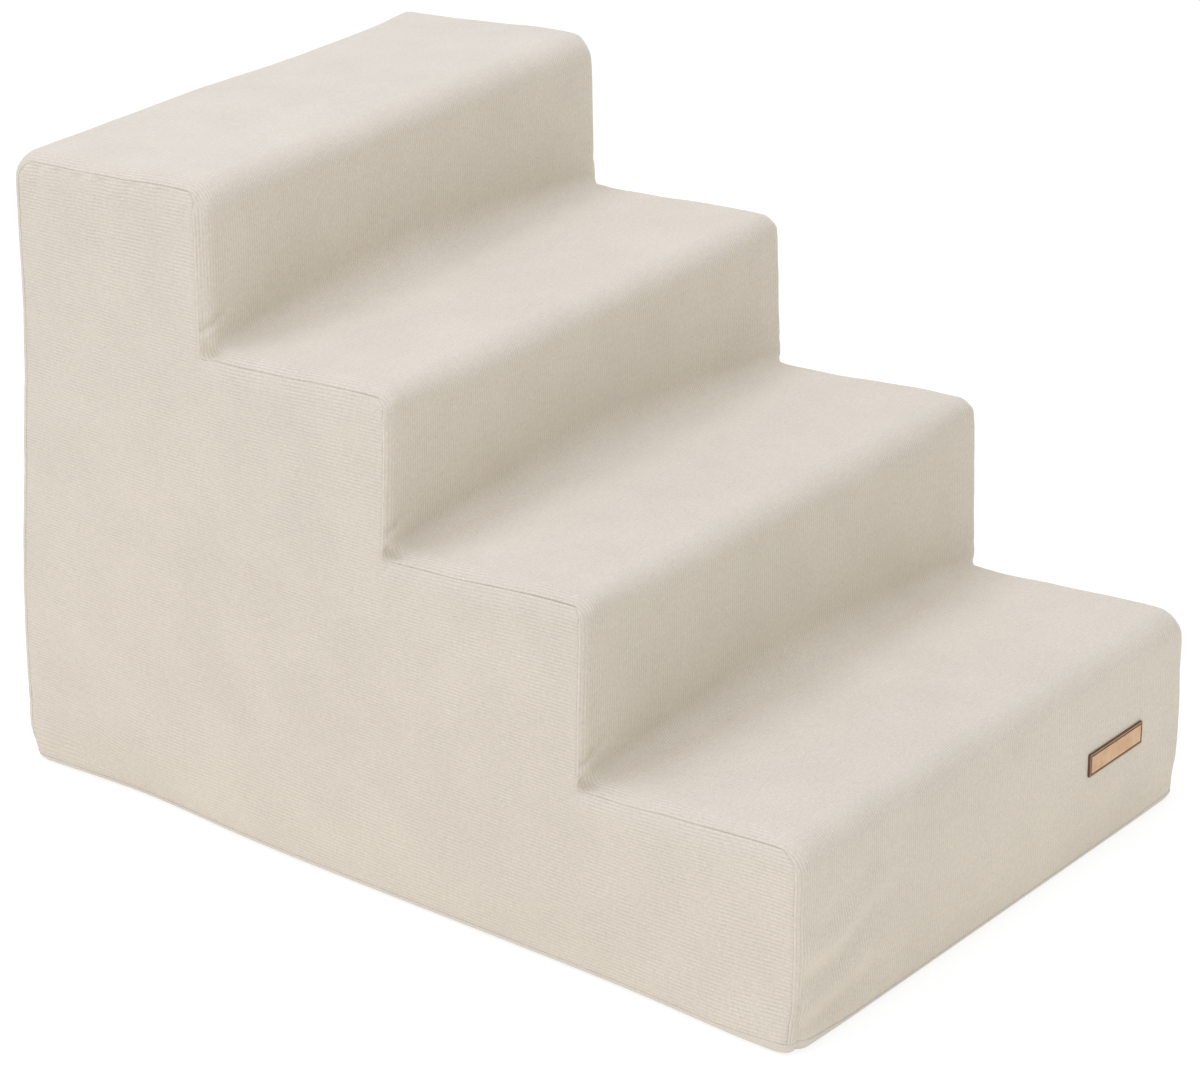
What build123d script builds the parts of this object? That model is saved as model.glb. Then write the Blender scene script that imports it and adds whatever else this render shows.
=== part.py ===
from build123d import *

import os

# Pet stairs: four foam steps in a fitted cover of fine-ribbed cord, which comes off by a zip low on the back.
# Millimetres. X runs across the steps, +Y towards the tall back and +Z up.
# The origin is on the floor, at the middle of the whole part's footprint.

# The steps, measured over the cover, the lowest step first
width = 400.0
first_rise = 120.0
second_rise = 102.0
third_rise = 90.0
fourth_rise = 90.0
first_going = 151.0
second_going = 146.0
third_going = 142.0
fourth_going = 161.0

# How the soft edges of the cover are rounded
nosing_radius = 18.0
bridge_radius = 16.0
top_back_radius = 20.0
foot_radius = 12.0
side_radius = 9.0

# The cover's cloth and seams
cloth_thickness = 2.0
side_seam_inset = 10.0
base_seam_height = 13.0
ridge_width = 2.4
ridge_height = 1.2
base_ridge_width = 1.8
base_ridge_height = 0.8
seam_thread_thickness = 0.7
foam_clearance = 0.9

# The zip's window in the back, and the tapes sewn behind it
zip_height = 40.0
window_end_margin = 20.0
window_height = 12.0
hem_width = 10.0
tape_overlap = 10.0
tape_width = 16.0
tape_thickness = 0.8
zip_pocket_margin = 2.0
zip_pocket_clearance = 0.8

# The two coils of the chain, and the stops at its ends
chain_split = 1.8
coil_width = 2.4
coil_thickness = 2.2
coil_spine = 1.0
tooth_pitch = 2.5
tooth_share = 0.6
stop_length = 2.2
stop_height = 3.0
stop_margin = 0.2
chain_end_margin = 1.8

# The slider, with the crown that holds its pull tab
slider_length = 13.0
slider_width = 10.0
slider_tail_width = 7.8
slider_flare_share = 0.45
slider_plate = 1.2
slider_lip = 0.9
slider_post_length = 3.5
slider_corner_radius = 1.0
running_clearance = 0.3
crown_length = 8.0
crown_width = 2.2
crown_bar = 1.2
crown_clearance = 0.4

# The pull tab
tab_lift = 0.9
tab_length = 28.0
tab_width = 7.0
tab_thickness = 1.2
tab_eye_length = 4.4
tab_waist_width = 5.0
tab_corner_radius = 1.6
tab_bar_radius = 0.5
tab_neck_length = 9.0
tab_grip_length = 8.0
tab_grip_width = 2.4
tab_grip_inset = 4.0

# The rows of stitches that hold the tapes, and the tacks at the window's ends
stitch_length = 3.0
stitch_pitch = 4.0
stitch_width = 0.6
stitch_height = 0.4
stitch_margin = 3.0
tack_width = 1.8
tack_height = 0.5

# The leather tag on the lowest riser
tag_length = 60.0
tag_height = 15.0
tag_thickness = 1.6
tag_side_margin = 51.0
tag_centre_height = 64.0
tag_corner_radius = 0.8
tag_groove_inset = 1.5
tag_groove_width = 0.6
tag_groove_depth = 0.3

# The blank care label in the far side seam
care_label_length = 34.0
care_label_height = 22.0
care_label_thickness = 0.8
care_label_foot = 68.0

# How far a cutter runs past what it cuts
overrun = 5.0

# Places worked out from the sizes above
rises = [first_rise, second_rise, third_rise, fourth_rise]
goings = [first_going, second_going, third_going, fourth_going]
height = sum(rises)
length = sum(goings)
half_width = width / 2
tab_proud = tab_lift + tab_thickness
zip_proud = tab_proud + crown_clearance + crown_bar
front_y = (tag_thickness - zip_proud - length) / 2
back_y = front_y + length
riser_ys = [front_y + sum(goings[:step]) for step in range(len(goings))]
tread_zs = [sum(rises[:step + 1]) for step in range(len(rises))]
foam_inset = cloth_thickness + foam_clearance

window_half = half_width - window_end_margin
window_top = zip_height + window_height / 2
window_bottom = zip_height - window_height / 2
tape_half = window_half + tape_overlap
hem_inner_y = back_y - 2 * cloth_thickness
tape_inner_y = hem_inner_y - tape_thickness
coil_outer_y = hem_inner_y + coil_thickness
chain_half = window_half - chain_end_margin - stop_length
slider_x = chain_half - running_clearance - slider_length / 2
slider_travel = 2 * slider_x
inner_plate_y = tape_inner_y - running_clearance - slider_plate
outer_plate_y = coil_outer_y + running_clearance
pivot_y = back_y + tab_lift + tab_thickness / 2


def block(x_low, x_high, y_low, y_high, z_low, z_high):
    """A box between two corners."""
    size = (x_high - x_low, y_high - y_low, z_high - z_low)
    return Pos(x_low, y_low, z_low) * Box(*size, align=(Align.MIN, Align.MIN, Align.MIN))


def softened(radius, inset):
    """A rounded corner's radius on an outline that lies inset within the cover's."""
    return max(radius - inset, 0)


def stair_face(inset, floor, inner_radius):
    """The stair outline as a face, inset from the cover's outside, with its underside at floor."""
    corners = [(front_y + inset, floor)]
    radii = [softened(foot_radius, inset)]
    landing_z = None
    for riser_y, tread_z in zip(riser_ys, tread_zs):
        if landing_z is not None:
            corners.append((riser_y + inset, landing_z))
            radii.append(inner_radius)
        landing_z = tread_z - inset
        corners.append((riser_y + inset, landing_z))
        radii.append(softened(nosing_radius, inset))
    corners += [(back_y - inset, landing_z), (back_y - inset, floor)]
    radii += [softened(top_back_radius, inset), softened(foot_radius, inset)]
    return make_face(FilletPolyline(*corners, radius=radii, close=True))


def across(face, x_low, x_high):
    """A face drawn in Y and Z, made solid from x_low to x_high."""
    return extrude(Plane.YZ.offset(x_low) * face, amount=x_high - x_low)


def rounded_stairs(inset, floor, inner_radius):
    """The stairs as one block, inset within the cover's outside, with its side edges rounded."""
    reach = half_width - inset
    stairs = across(stair_face(inset, floor, inner_radius), -reach, reach)
    ends = stairs.faces().sort_by(Axis.X)
    return fillet(ends[0].edges() + ends[-1].edges(), softened(side_radius, inset))


def seam_ring(outer_inset, inner_inset):
    """A narrow band that follows the stair outline between two insets."""
    outer = stair_face(outer_inset, outer_inset, bridge_radius + outer_inset)
    inner = stair_face(inner_inset, inner_inset, bridge_radius + inner_inset)
    return outer - inner


def floor_ring(outer_inset, inner_inset, z_low, z_high):
    """A narrow level band round the foot of the stairs between two insets."""
    rings = []
    for inset in (outer_inset, inner_inset):
        outline = RectangleRounded(width - 2 * inset, length - 2 * inset, side_radius - inset)
        rings.append(Pos(0, (front_y + back_y) / 2, z_low) * extrude(outline, amount=z_high - z_low))
    return rings[0] - rings[1]


def cover_shell():
    """The whole cover before it is parted into its panels, with the raised ridges of its seams."""
    shell = rounded_stairs(0, 0, bridge_radius)
    ridge = seam_ring(side_seam_inset - ridge_width, side_seam_inset)
    buried_x = half_width - cloth_thickness / 2
    proud_x = half_width + ridge_height
    shell += across(ridge, -proud_x, -buried_x)
    shell += across(ridge, buried_x, proud_x)
    base_ridge_foot = base_seam_height - base_ridge_width
    shell += floor_ring(-base_ridge_height, cloth_thickness / 2, base_ridge_foot, base_seam_height)
    cavity = rounded_stairs(cloth_thickness, cloth_thickness, bridge_radius + cloth_thickness)
    return shell - cavity


def cover_panels():
    """The cover parted along its seams into the pieces that it is sewn from."""
    shell = cover_shell()
    reach = half_width + overrun
    base = shell & block(-reach, reach, front_y - overrun, back_y + overrun, -overrun, base_seam_height)
    upper = shell - block(-reach, reach, front_y - overrun, back_y + overrun, -overrun, base_seam_height)
    panel_face = stair_face(side_seam_inset, side_seam_inset, bridge_radius + side_seam_inset)
    inner_x = half_width - cloth_thickness
    left_prism = across(panel_face, -reach, -inner_x)
    right_prism = across(panel_face, inner_x, reach)
    left_panel = upper & left_prism
    right_panel = upper & right_prism
    band = upper - left_prism - right_prism

    # The back below the zip is a strip of its own, which also wraps round both side edges
    below_zip = block(-reach, reach, back_y - side_seam_inset, back_y + overrun, base_seam_height, zip_height)
    strip = band & below_zip
    band = band - below_zip

    # The zip's window, and the turned-in hems along its two long edges
    window_reach = (-window_half, window_half)
    window = block(*window_reach, back_y - foam_inset, back_y + overrun, window_bottom, window_top)
    hem_y = back_y - cloth_thickness
    upper_hem = block(-tape_half, tape_half, hem_inner_y, hem_y, window_top, window_top + hem_width)
    lower_hem = block(-tape_half, tape_half, hem_inner_y, hem_y, window_bottom - hem_width, window_bottom)
    return {
        "step_band": band - window + upper_hem,
        "back_lower_strip": strip - window + lower_hem,
        "left_side_panel": left_panel,
        "right_side_panel": right_panel,
        "base_panel": base,
    }


def seam_threads():
    """The threads of the two side seams and of the base seam, on the inside of the cover."""
    half_thread = seam_thread_thickness / 2
    ring = seam_ring(side_seam_inset - half_thread, side_seam_inset + half_thread)
    outer_x = half_width - cloth_thickness
    inner_x = outer_x - seam_thread_thickness
    top_of_base_thread = base_seam_height + half_thread
    below = block(-width, width, front_y, back_y, 0, top_of_base_thread)
    inner_reach = cloth_thickness + seam_thread_thickness
    base_thread = floor_ring(cloth_thickness, inner_reach, base_seam_height - half_thread, top_of_base_thread)
    return {
        "left_seam_thread": across(ring, -outer_x, -inner_x) - below,
        "right_seam_thread": across(ring, inner_x, outer_x) - below,
        "base_seam_thread": base_thread,
    }


def foam_slabs():
    """The core, cut into a slab for each step, with a shallow pocket in the lowest one for the zip."""
    core = rounded_stairs(foam_inset, cloth_thickness, 0)
    slabs = {}
    z_low = 0
    for number, tread_z in enumerate(tread_zs, start=1):
        z_high = tread_z - foam_inset
        level = block(-half_width, half_width, front_y, back_y, z_low, z_high)
        slabs[f"foam_slab_{number}"] = core & level
        z_low = z_high

    pocket_half = tape_half + zip_pocket_margin
    pocket_reach = tape_width + zip_pocket_margin
    pocket_y = inner_plate_y - zip_pocket_clearance
    slabs["foam_slab_1"] -= block(
        -pocket_half, pocket_half, pocket_y, back_y, zip_height - pocket_reach, zip_height + pocket_reach
    )
    return slabs


def upward(z):
    """A height above the zip's centre line, as it lies on the upper half."""
    return zip_height + z


def downward(z):
    """A height from the zip's centre line, mirrored to the lower half."""
    return zip_height - z


def zip_box(place, x_low, x_high, y_low, y_high, z_low, z_high):
    """A box beside the zip's centre line, on the half that place gives."""
    lower, upper = sorted((place(z_low), place(z_high)))
    return block(x_low, x_high, y_low, y_high, lower, upper)


def coil(place):
    """One coil of the chain: a spine along the tape with a row of teeth towards the centre line."""
    tip = chain_split / 2
    root = tip + coil_width - coil_spine
    tooth_count = int(2 * chain_half / tooth_pitch)
    first_x = -tooth_count * tooth_pitch / 2
    half_tooth = tooth_pitch * tooth_share / 2
    outline = [(-chain_half, place(tip + coil_width)), (-chain_half, place(root))]
    for tooth in range(tooth_count):
        middle = first_x + (tooth + 1 / 2) * tooth_pitch
        outline.append((middle - half_tooth, place(root)))
        outline.append((middle - half_tooth, place(tip)))
        outline.append((middle + half_tooth, place(tip)))
        outline.append((middle + half_tooth, place(root)))
    outline += [(chain_half, place(root)), (chain_half, place(tip + coil_width))]
    face = make_face(Polyline(*outline, close=True))
    chain_plane = Plane(origin=(0, coil_outer_y, 0), x_dir=(1, 0, 0), z_dir=(0, -1, 0))
    return extrude(chain_plane * face, amount=coil_thickness)


def zip_chain():
    """The tapes, the coils and the stops at the chain's ends."""
    tip = chain_split / 2
    stop_y = hem_inner_y + stop_height
    stop_z = tip + coil_width + stop_margin
    pieces = {}
    for half, place in (("upper", upward), ("lower", downward)):
        pieces[f"zip_tape_{half}"] = zip_box(
            place, -tape_half, tape_half, tape_inner_y, hem_inner_y, tip, tape_width
        )
        pieces[f"zip_coil_{half}"] = coil(place)
    top_stops = [
        zip_box(place, chain_half, chain_half + stop_length, hem_inner_y, stop_y, tip, stop_z)
        for place in (upward, downward)
    ]
    pieces["zip_top_stops"] = Compound(children=top_stops)
    pieces["zip_bottom_stop"] = block(
        -chain_half - stop_length, -chain_half, hem_inner_y, stop_y, downward(stop_z), upward(stop_z)
    )
    return pieces


def slider_plate_solid(y_low):
    """One of the slider's two plates, wide at the nose and narrow at the tail, seen from behind."""
    nose = slider_length / 2
    flare = nose - slider_length * slider_flare_share
    outline = [
        (nose, slider_width / 2),
        (flare, slider_width / 2),
        (-nose, slider_tail_width / 2),
        (-nose, -slider_tail_width / 2),
        (flare, -slider_width / 2),
        (nose, -slider_width / 2),
    ]
    face = make_face(FilletPolyline(*outline, radius=slider_corner_radius, close=True))
    plane = Plane(origin=(slider_x, y_low + slider_plate, zip_height), x_dir=(1, 0, 0), z_dir=(0, -1, 0))
    return extrude(plane * face, amount=slider_plate)


def slider():
    """The slider: two plates on a post, lips round the coils, and the crown that the tab hangs on."""
    body = slider_plate_solid(inner_plate_y) + slider_plate_solid(outer_plate_y)
    nose_x = slider_x + slider_length / 2
    tail_x = slider_x - slider_length / 2
    post_half = chain_split / 2 - running_clearance
    body += block(
        nose_x - slider_post_length, nose_x, inner_plate_y, outer_plate_y + slider_plate,
        zip_height - post_half, zip_height + post_half,
    )
    lip_y = hem_inner_y + running_clearance
    for place in (upward, downward):
        lips = zip_box(
            place, tail_x, nose_x, lip_y, outer_plate_y + slider_plate,
            slider_width / 2 - slider_lip, slider_width / 2,
        )
        body += lips & slider_envelope()
    return body + crown()


def slider_envelope():
    """The part of the slider's length along which its plates have their full width."""
    nose = slider_x + slider_length / 2
    flare = nose - slider_length * slider_flare_share
    return block(
        flare, nose - slider_corner_radius, inner_plate_y, back_y,
        zip_height - slider_width / 2, zip_height + slider_width / 2,
    )


def crown():
    """The arch on the outer plate, under which the tab's cross bar lies."""
    foot_y = outer_plate_y + slider_plate / 2
    roof_y = back_y + tab_proud + crown_clearance
    half = crown_length / 2
    crown_z = (zip_height - crown_width / 2, zip_height + crown_width / 2)
    arch = block(slider_x - half, slider_x + half, foot_y, roof_y + crown_bar, *crown_z)
    arch -= block(slider_x - half + crown_bar, slider_x + half - crown_bar, foot_y, roof_y, *crown_z)
    edges = arch.edges().filter_by(Axis.Z).group_by(Axis.Y)[-1]
    return fillet(edges, crown_bar / 2)


def pull_tab():
    """The tab as it lies at rest, from its cross bar under the crown back along the closed chain."""
    bar_half = tab_thickness / 2
    eye_end = bar_half + tab_eye_length
    eye_half = crown_width / 2 + crown_clearance
    tip = tab_length - bar_half
    outline = [
        (bar_half, tab_width / 2),
        (-eye_end, tab_width / 2),
        (-tab_neck_length, tab_waist_width / 2),
        (-tip, tab_width / 2),
        (-tip, -tab_width / 2),
        (-tab_neck_length, -tab_waist_width / 2),
        (-eye_end, -tab_width / 2),
        (bar_half, -tab_width / 2),
    ]
    radii = [0, tab_corner_radius, tab_corner_radius, tab_corner_radius]
    face = make_face(FilletPolyline(*outline, radius=radii + radii[::-1], close=True))
    face -= Pos(-bar_half - tab_eye_length / 2, 0) * Rectangle(tab_eye_length, 2 * eye_half)
    grip_middle = tip - tab_grip_inset - tab_grip_length / 2
    face -= Pos(-grip_middle, 0) * SlotOverall(tab_grip_length, tab_grip_width)
    plane = Plane(origin=(slider_x, pivot_y + bar_half, zip_height), x_dir=(1, 0, 0), z_dir=(0, -1, 0))
    tab = extrude(plane * face, amount=tab_thickness)
    bar_edges = tab.edges().filter_by(Axis.Z).group_by(Axis.X)[-1]
    return fillet(bar_edges, tab_bar_radius)


def stitch_row(place):
    """A row of stitches on the outside of the back, beside one edge of the zip's window."""
    count = int(2 * window_half / stitch_pitch)
    first_x = -(count - 1) * stitch_pitch / 2
    middle = window_height / 2 + stitch_margin
    stitches = []
    for stitch in range(count):
        x = first_x + stitch * stitch_pitch
        stitches.append(zip_box(
            place, x - stitch_length / 2, x + stitch_length / 2, back_y, back_y + stitch_height,
            middle - stitch_width / 2, middle + stitch_width / 2,
        ))
    return Compound(children=stitches)


def end_tacks():
    """The bar tacks that close the cloth at the two ends of the zip's window."""
    tacks = [
        block(x, x + tack_width, back_y, back_y + tack_height, window_bottom, window_top)
        for x in (-window_half - tack_width, window_half)
    ]
    return Compound(children=tacks)


def leather_tag():
    """The bare tag on the lowest riser, with an engraved border."""
    face = RectangleRounded(tag_length, tag_height, tag_corner_radius)
    tag_x = half_width - tag_side_margin - tag_length / 2
    plane = Plane(origin=(tag_x, front_y, tag_centre_height), x_dir=(1, 0, 0), z_dir=(0, -1, 0))
    tag = extrude(plane * face, amount=tag_thickness)
    groove = Rectangle(tag_length - 2 * tag_groove_inset, tag_height - 2 * tag_groove_inset)
    field_inset = tag_groove_inset + tag_groove_width
    groove -= Rectangle(tag_length - 2 * field_inset, tag_height - 2 * field_inset)
    cut_plane = plane.offset(tag_thickness - tag_groove_depth)
    return tag - extrude(cut_plane * groove, amount=tag_groove_depth)


def care_label():
    """The blank label that is caught in the far side seam and lies forward on the side panel."""
    seam_y = back_y - side_seam_inset
    return block(
        half_width, half_width + care_label_thickness, seam_y - care_label_length, seam_y,
        care_label_foot, care_label_foot + care_label_height,
    )


def build_nodes():
    """Every piece of the stairs by its node name."""
    nodes = {}
    nodes.update(foam_slabs())
    nodes.update(cover_panels())
    nodes.update(seam_threads())
    nodes.update(zip_chain())
    nodes["zip_slider"] = slider()
    nodes["zip_pull_tab"] = pull_tab()
    nodes["zip_stitches_upper"] = stitch_row(upward)
    nodes["zip_stitches_lower"] = stitch_row(downward)
    nodes["zip_end_tacks"] = end_tacks()
    nodes["leather_tag"] = leather_tag()
    nodes["care_label"] = care_label()
    return nodes


os.makedirs("parts", exist_ok=True)
for name, piece in build_nodes().items():
    export_step(piece, f"parts/{name}.step")
print(f"overall {width:.0f} x {length:.0f} x {height:.0f} over the cover")
print(f"slider at x {slider_x:.2f}, y {pivot_y:.2f}, z {zip_height:.2f}, travel {slider_travel:.2f}")
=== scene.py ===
import math
from contextlib import contextmanager
from functools import partial

import bmesh
import bpy
import numpy as np
from mathutils import Matrix, Vector, kdtree
from mathutils.geometry import delaunay_2d_cdt


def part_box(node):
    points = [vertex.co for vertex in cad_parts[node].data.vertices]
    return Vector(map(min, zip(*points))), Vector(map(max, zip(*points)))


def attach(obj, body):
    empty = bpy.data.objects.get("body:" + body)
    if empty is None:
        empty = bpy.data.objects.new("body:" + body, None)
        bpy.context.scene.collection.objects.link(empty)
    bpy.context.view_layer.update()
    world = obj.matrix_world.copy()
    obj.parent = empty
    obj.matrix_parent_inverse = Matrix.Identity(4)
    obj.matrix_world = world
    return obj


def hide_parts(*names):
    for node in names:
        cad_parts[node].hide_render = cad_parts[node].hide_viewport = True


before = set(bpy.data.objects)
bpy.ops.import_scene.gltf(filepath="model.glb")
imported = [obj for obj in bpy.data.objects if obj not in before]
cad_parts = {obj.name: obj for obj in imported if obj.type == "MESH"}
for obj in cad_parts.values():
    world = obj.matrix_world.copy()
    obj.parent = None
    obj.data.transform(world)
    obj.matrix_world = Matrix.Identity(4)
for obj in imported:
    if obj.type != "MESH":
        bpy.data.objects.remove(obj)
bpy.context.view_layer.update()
mm = 0.001
scene = bpy.context.scene

# sizes of the stairs in millimetres, read from the frame
coverOverFoam = 2.9  # from a slab's face to the cover's outer face
slabBoxes = [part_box(f"foam_slab_{number}") for number in range(1, 5)]
riserYs = [low.y / mm - coverOverFoam for low, high in slabBoxes]
treadZs = [high.z / mm + coverOverFoam for low, high in slabBoxes]
backY = slabBoxes[3][1].y / mm + coverOverFoam
halfWidth = slabBoxes[0][1].x / mm + coverOverFoam
frontY = riserYs[0]
topZ = treadZs[3]
stepEnds = riserYs[1:] + [backY]
zipZ = (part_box("zip_coil_upper")[0].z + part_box("zip_coil_lower")[1].z) / 2 / mm
print("frame loaded: risers at", [round(y, 1) for y in riserYs], "treads at", [round(z, 1) for z in treadZs])


def addNode(tree, kind, inputs=None, out=0, **settings):
    # one node with its settings and its links; gives back one of its outputs, or all of them for None
    node = tree.nodes.new(kind)
    for name, value in settings.items():
        setattr(node, name, value)
    for key, value in (inputs or {}).items():
        if isinstance(value, bpy.types.NodeSocket):
            tree.links.new(value, node.inputs[key])
        else:
            node.inputs[key].default_value = value
    return node.outputs if out is None else node.outputs[out]


def hexColour(text):
    # sRGB hex to the linear values that the shaders take
    parts = [int(text[i:i + 2], 16) / 255 for i in (1, 3, 5)]
    return tuple(p / 12.92 if p <= 0.04045 else ((p + 0.055) / 1.055) ** 2.4 for p in parts) + (1.0,)


def smooth(low, high, x):
    t = np.clip((np.asarray(x, float) - low) / (high - low), 0, 1)
    return t * t * (3 - 2 * t)


def bell(x, width):
    return np.exp(-(np.asarray(x, float) / width) ** 2)


def boxOf(node):
    # a node's lowest and highest corner in millimetres
    return [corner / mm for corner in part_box(node)]


def linked(name, data):
    thing = bpy.data.objects.new(name, data)
    scene.collection.objects.link(thing)
    return thing


def meshObject(name, points, faces, uv=None, material=None):
    # points in millimetres, uv in metres of cloth for each point
    mesh = bpy.data.meshes.new(name)
    mesh.from_pydata((np.asarray(points) * mm).tolist(), [], [list(map(int, f)) for f in faces])
    if uv is not None:
        layer = mesh.uv_layers.new(name="clothMap")
        corner = np.zeros(len(mesh.loops), int)
        mesh.loops.foreach_get("vertex_index", corner)
        layer.data.foreach_set("uv", np.asarray(uv, np.float32)[corner].ravel())
    mesh.polygons.foreach_set("use_smooth", [True] * len(mesh.polygons))
    mesh.update()
    if material:
        mesh.materials.append(material)
    return linked(name, mesh)


def pointsOf(mesh):
    flat = np.zeros(len(mesh.vertices) * 3)
    mesh.vertices.foreach_get("co", flat)
    return flat.reshape(-1, 3) / mm


@contextmanager
def editing(mesh):
    bm = bmesh.new()
    bm.from_mesh(mesh)
    yield bm
    bm.to_mesh(mesh)
    bm.free()


def quads(rows, columns, closed=False, flip=False):
    # faces over a grid of points; a closed one joins the end of each row to its start
    faces = []
    for r in range(rows - 1):
        for c in range(columns if closed else columns - 1):
            a, b = r * columns + c, r * columns + (c + 1) % columns
            faces.append((a, a + columns, b + columns, b) if flip else (a, b, b + columns, a + columns))
    return faces


def facing(points, triangles, axis, sign):
    # the triangles, turned over together where they face away from that side
    a, b, c = (points[[t[k] for t in triangles]] for k in range(3))
    away = np.cross(b - a, c - a)[:, axis].sum() * sign < 0
    return [t[::-1] for t in triangles] if away else triangles


def evaluatedMesh(piece):
    bpy.context.view_layer.update()
    graph = bpy.context.evaluated_depsgraph_get()
    return bpy.data.meshes.new_from_object(piece.evaluated_get(graph), depsgraph=graph)


def applied(piece):
    # the piece with its modifiers made part of its mesh
    mesh = evaluatedMesh(piece)
    piece.modifiers.clear()
    old = piece.data
    piece.data = mesh
    mesh.name = piece.name
    bpy.data.meshes.remove(old)
    return piece


def thickened(piece, thickness):
    # a wall that grows inward from the face that is seen
    wall = piece.modifiers.new("thickness", "SOLIDIFY")
    wall.thickness = thickness * mm
    wall.offset = -1
    wall.use_rim = True
    return applied(piece)


def finish(piece, body, slotName, *nodes):
    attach(piece, body)
    if nodes:
        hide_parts(*nodes)
    return piece


# camera, floor and light

cameraPlace = {
    "azimuth": -51.28, "elevation": 23.24, "roll": -0.45,
    "distance": 2.383, "lensPixels": 3901, "pictureWidth": 1200, "sensor": 36,
    # millimetres: what it aims at, from the foot of the front riser, and how far that slides in the picture
    "aim": (0, 300, 150), "slide": (3.2, 13.4),
}


def makeCamera(spec):
    az, el, roll = (math.radians(spec[k]) for k in ("azimuth", "elevation", "roll"))
    back = Vector((math.sin(az) * math.cos(el), -math.cos(az) * math.cos(el), math.sin(el)))
    right = Vector((0, 0, 1)).cross(back).normalized()
    up = back.cross(right)
    x = right * math.cos(roll) + up * math.sin(roll)
    y = up * math.cos(roll) - right * math.sin(roll)
    aim = Vector((spec["aim"][0], spec["aim"][1] + frontY, spec["aim"][2])) * mm
    aim += (x * spec["slide"][0] + y * spec["slide"][1]) * mm
    data = bpy.data.cameras.new("camera")
    data.sensor_width = spec["sensor"]
    data.lens = spec["lensPixels"] / spec["pictureWidth"] * spec["sensor"]
    data.clip_end = 50
    camera = linked("camera", data)
    turned = Matrix((x, y, back)).transposed().to_4x4()
    camera.matrix_world = Matrix.Translation(aim + back * spec["distance"]) @ turned
    scene.camera = camera


studio = {
    "floorSize": 14.0, "floorColour": "#FCF9F4", "floorGlow": 0.80, "floorShade": 0.26, "floorBounce": 0.18,
    "worldStrength": 0.68, "worldColour": "#FBFEFE", "lampColour": "#E6E9FC", "lampAim": (0, 0, 0.15),
    # each lamp's place and size in metres, and its power
    "lamps": {
        "key": ((-0.95, 0.36, 3.7), 3.1, 73),
        "fill": ((1.2, 0.35, 1.1), 1.2, 2.0),
        "side": ((-1.7, 1.2, 0.7), 1.2, 0.8),
    },
}


def seenDirectly(tree):
    # 1 for what the camera sees, either itself or through a reflection or a clear surface
    rays = addNode(tree, "ShaderNodeLightPath", out=None)
    seen = rays["Is Camera Ray"]
    for name in ("Is Glossy Ray", "Is Transmission Ray"):
        seen = addNode(tree, "ShaderNodeMath", {0: seen, 1: rays[name]}, operation="MAXIMUM")
    return seen


def makeFloor(spec):
    # white to the camera but for the object's shadow, and a pale matt floor to the object
    half = spec["floorSize"] / 2 / mm
    corners = [(-half, -half, 0), (half, -half, 0), (half, half, 0), (-half, half, 0)]
    material = bpy.data.materials.new("pale studio floor")
    material.use_nodes = True
    material.node_tree.nodes.clear()
    add = partial(addNode, material.node_tree)
    shade = spec["floorShade"]
    lit = add("ShaderNodeAddShader", {
        0: add("ShaderNodeBsdfDiffuse", {"Color": (shade, shade, shade, 1)}),
        1: add("ShaderNodeEmission", {"Strength": spec["floorGlow"]}),
    })
    plain = add("ShaderNodeAddShader", {
        0: add("ShaderNodeBsdfDiffuse", {"Color": hexColour(spec["floorColour"])}),
        1: add("ShaderNodeEmission", {"Strength": spec["floorBounce"]}),
    })
    mixed = add("ShaderNodeMixShader", {0: seenDirectly(material.node_tree), 1: plain, 2: lit})
    add("ShaderNodeOutputMaterial", {"Surface": mixed}, out=None)
    meshObject("floor", corners, [(0, 1, 2, 3)], None, material)


def makeWorld(spec):
    # white to the camera, and a soft even light to the object
    world = bpy.data.worlds.new("studio")
    scene.world = world
    world.use_nodes = True
    world.node_tree.nodes.clear()
    add = partial(addNode, world.node_tree)
    light = add("ShaderNodeBackground", {
        "Color": hexColour(spec["worldColour"]), "Strength": spec["worldStrength"],
    })
    white = add("ShaderNodeBackground", {"Color": (1, 1, 1, 1), "Strength": 1.0})
    mixed = add("ShaderNodeMixShader", {0: seenDirectly(world.node_tree), 1: light, 2: white})
    add("ShaderNodeOutputWorld", {"Surface": mixed}, out=None)


def makeLamps(spec):
    for name, (place, size, power) in spec["lamps"].items():
        data = bpy.data.lights.new(name, "AREA")
        data.shape = "DISK"
        data.size = size
        data.energy = power
        data.color = hexColour(spec["lampColour"])[:3]
        lamp = linked(name, data)
        lamp.location = place
        lamp.rotation_euler = (Vector(spec["lampAim"]) - Vector(place)).to_track_quat("-Z", "Y").to_euler()


makeCamera(cameraPlace)
makeFloor(studio)
makeWorld(studio)
makeLamps(studio)
scene.view_settings.view_transform = "Standard"
print("camera, floor and light made")


# materials

def newMaterial(name, shader):
    # a material with one Principled shader, whose uniform values are set on its own sockets;
    # with it come the ways to add a node to its tree and to link a value to its shader
    material = bpy.data.materials.new(name)
    material.use_nodes = True
    tree = material.node_tree
    principled = tree.nodes["Principled BSDF"]
    for key, value in shader.items():
        principled.inputs[key].default_value = value

    def link(key, value):
        tree.links.new(value, principled.inputs[key])

    return material, partial(addNode, tree), link


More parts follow.
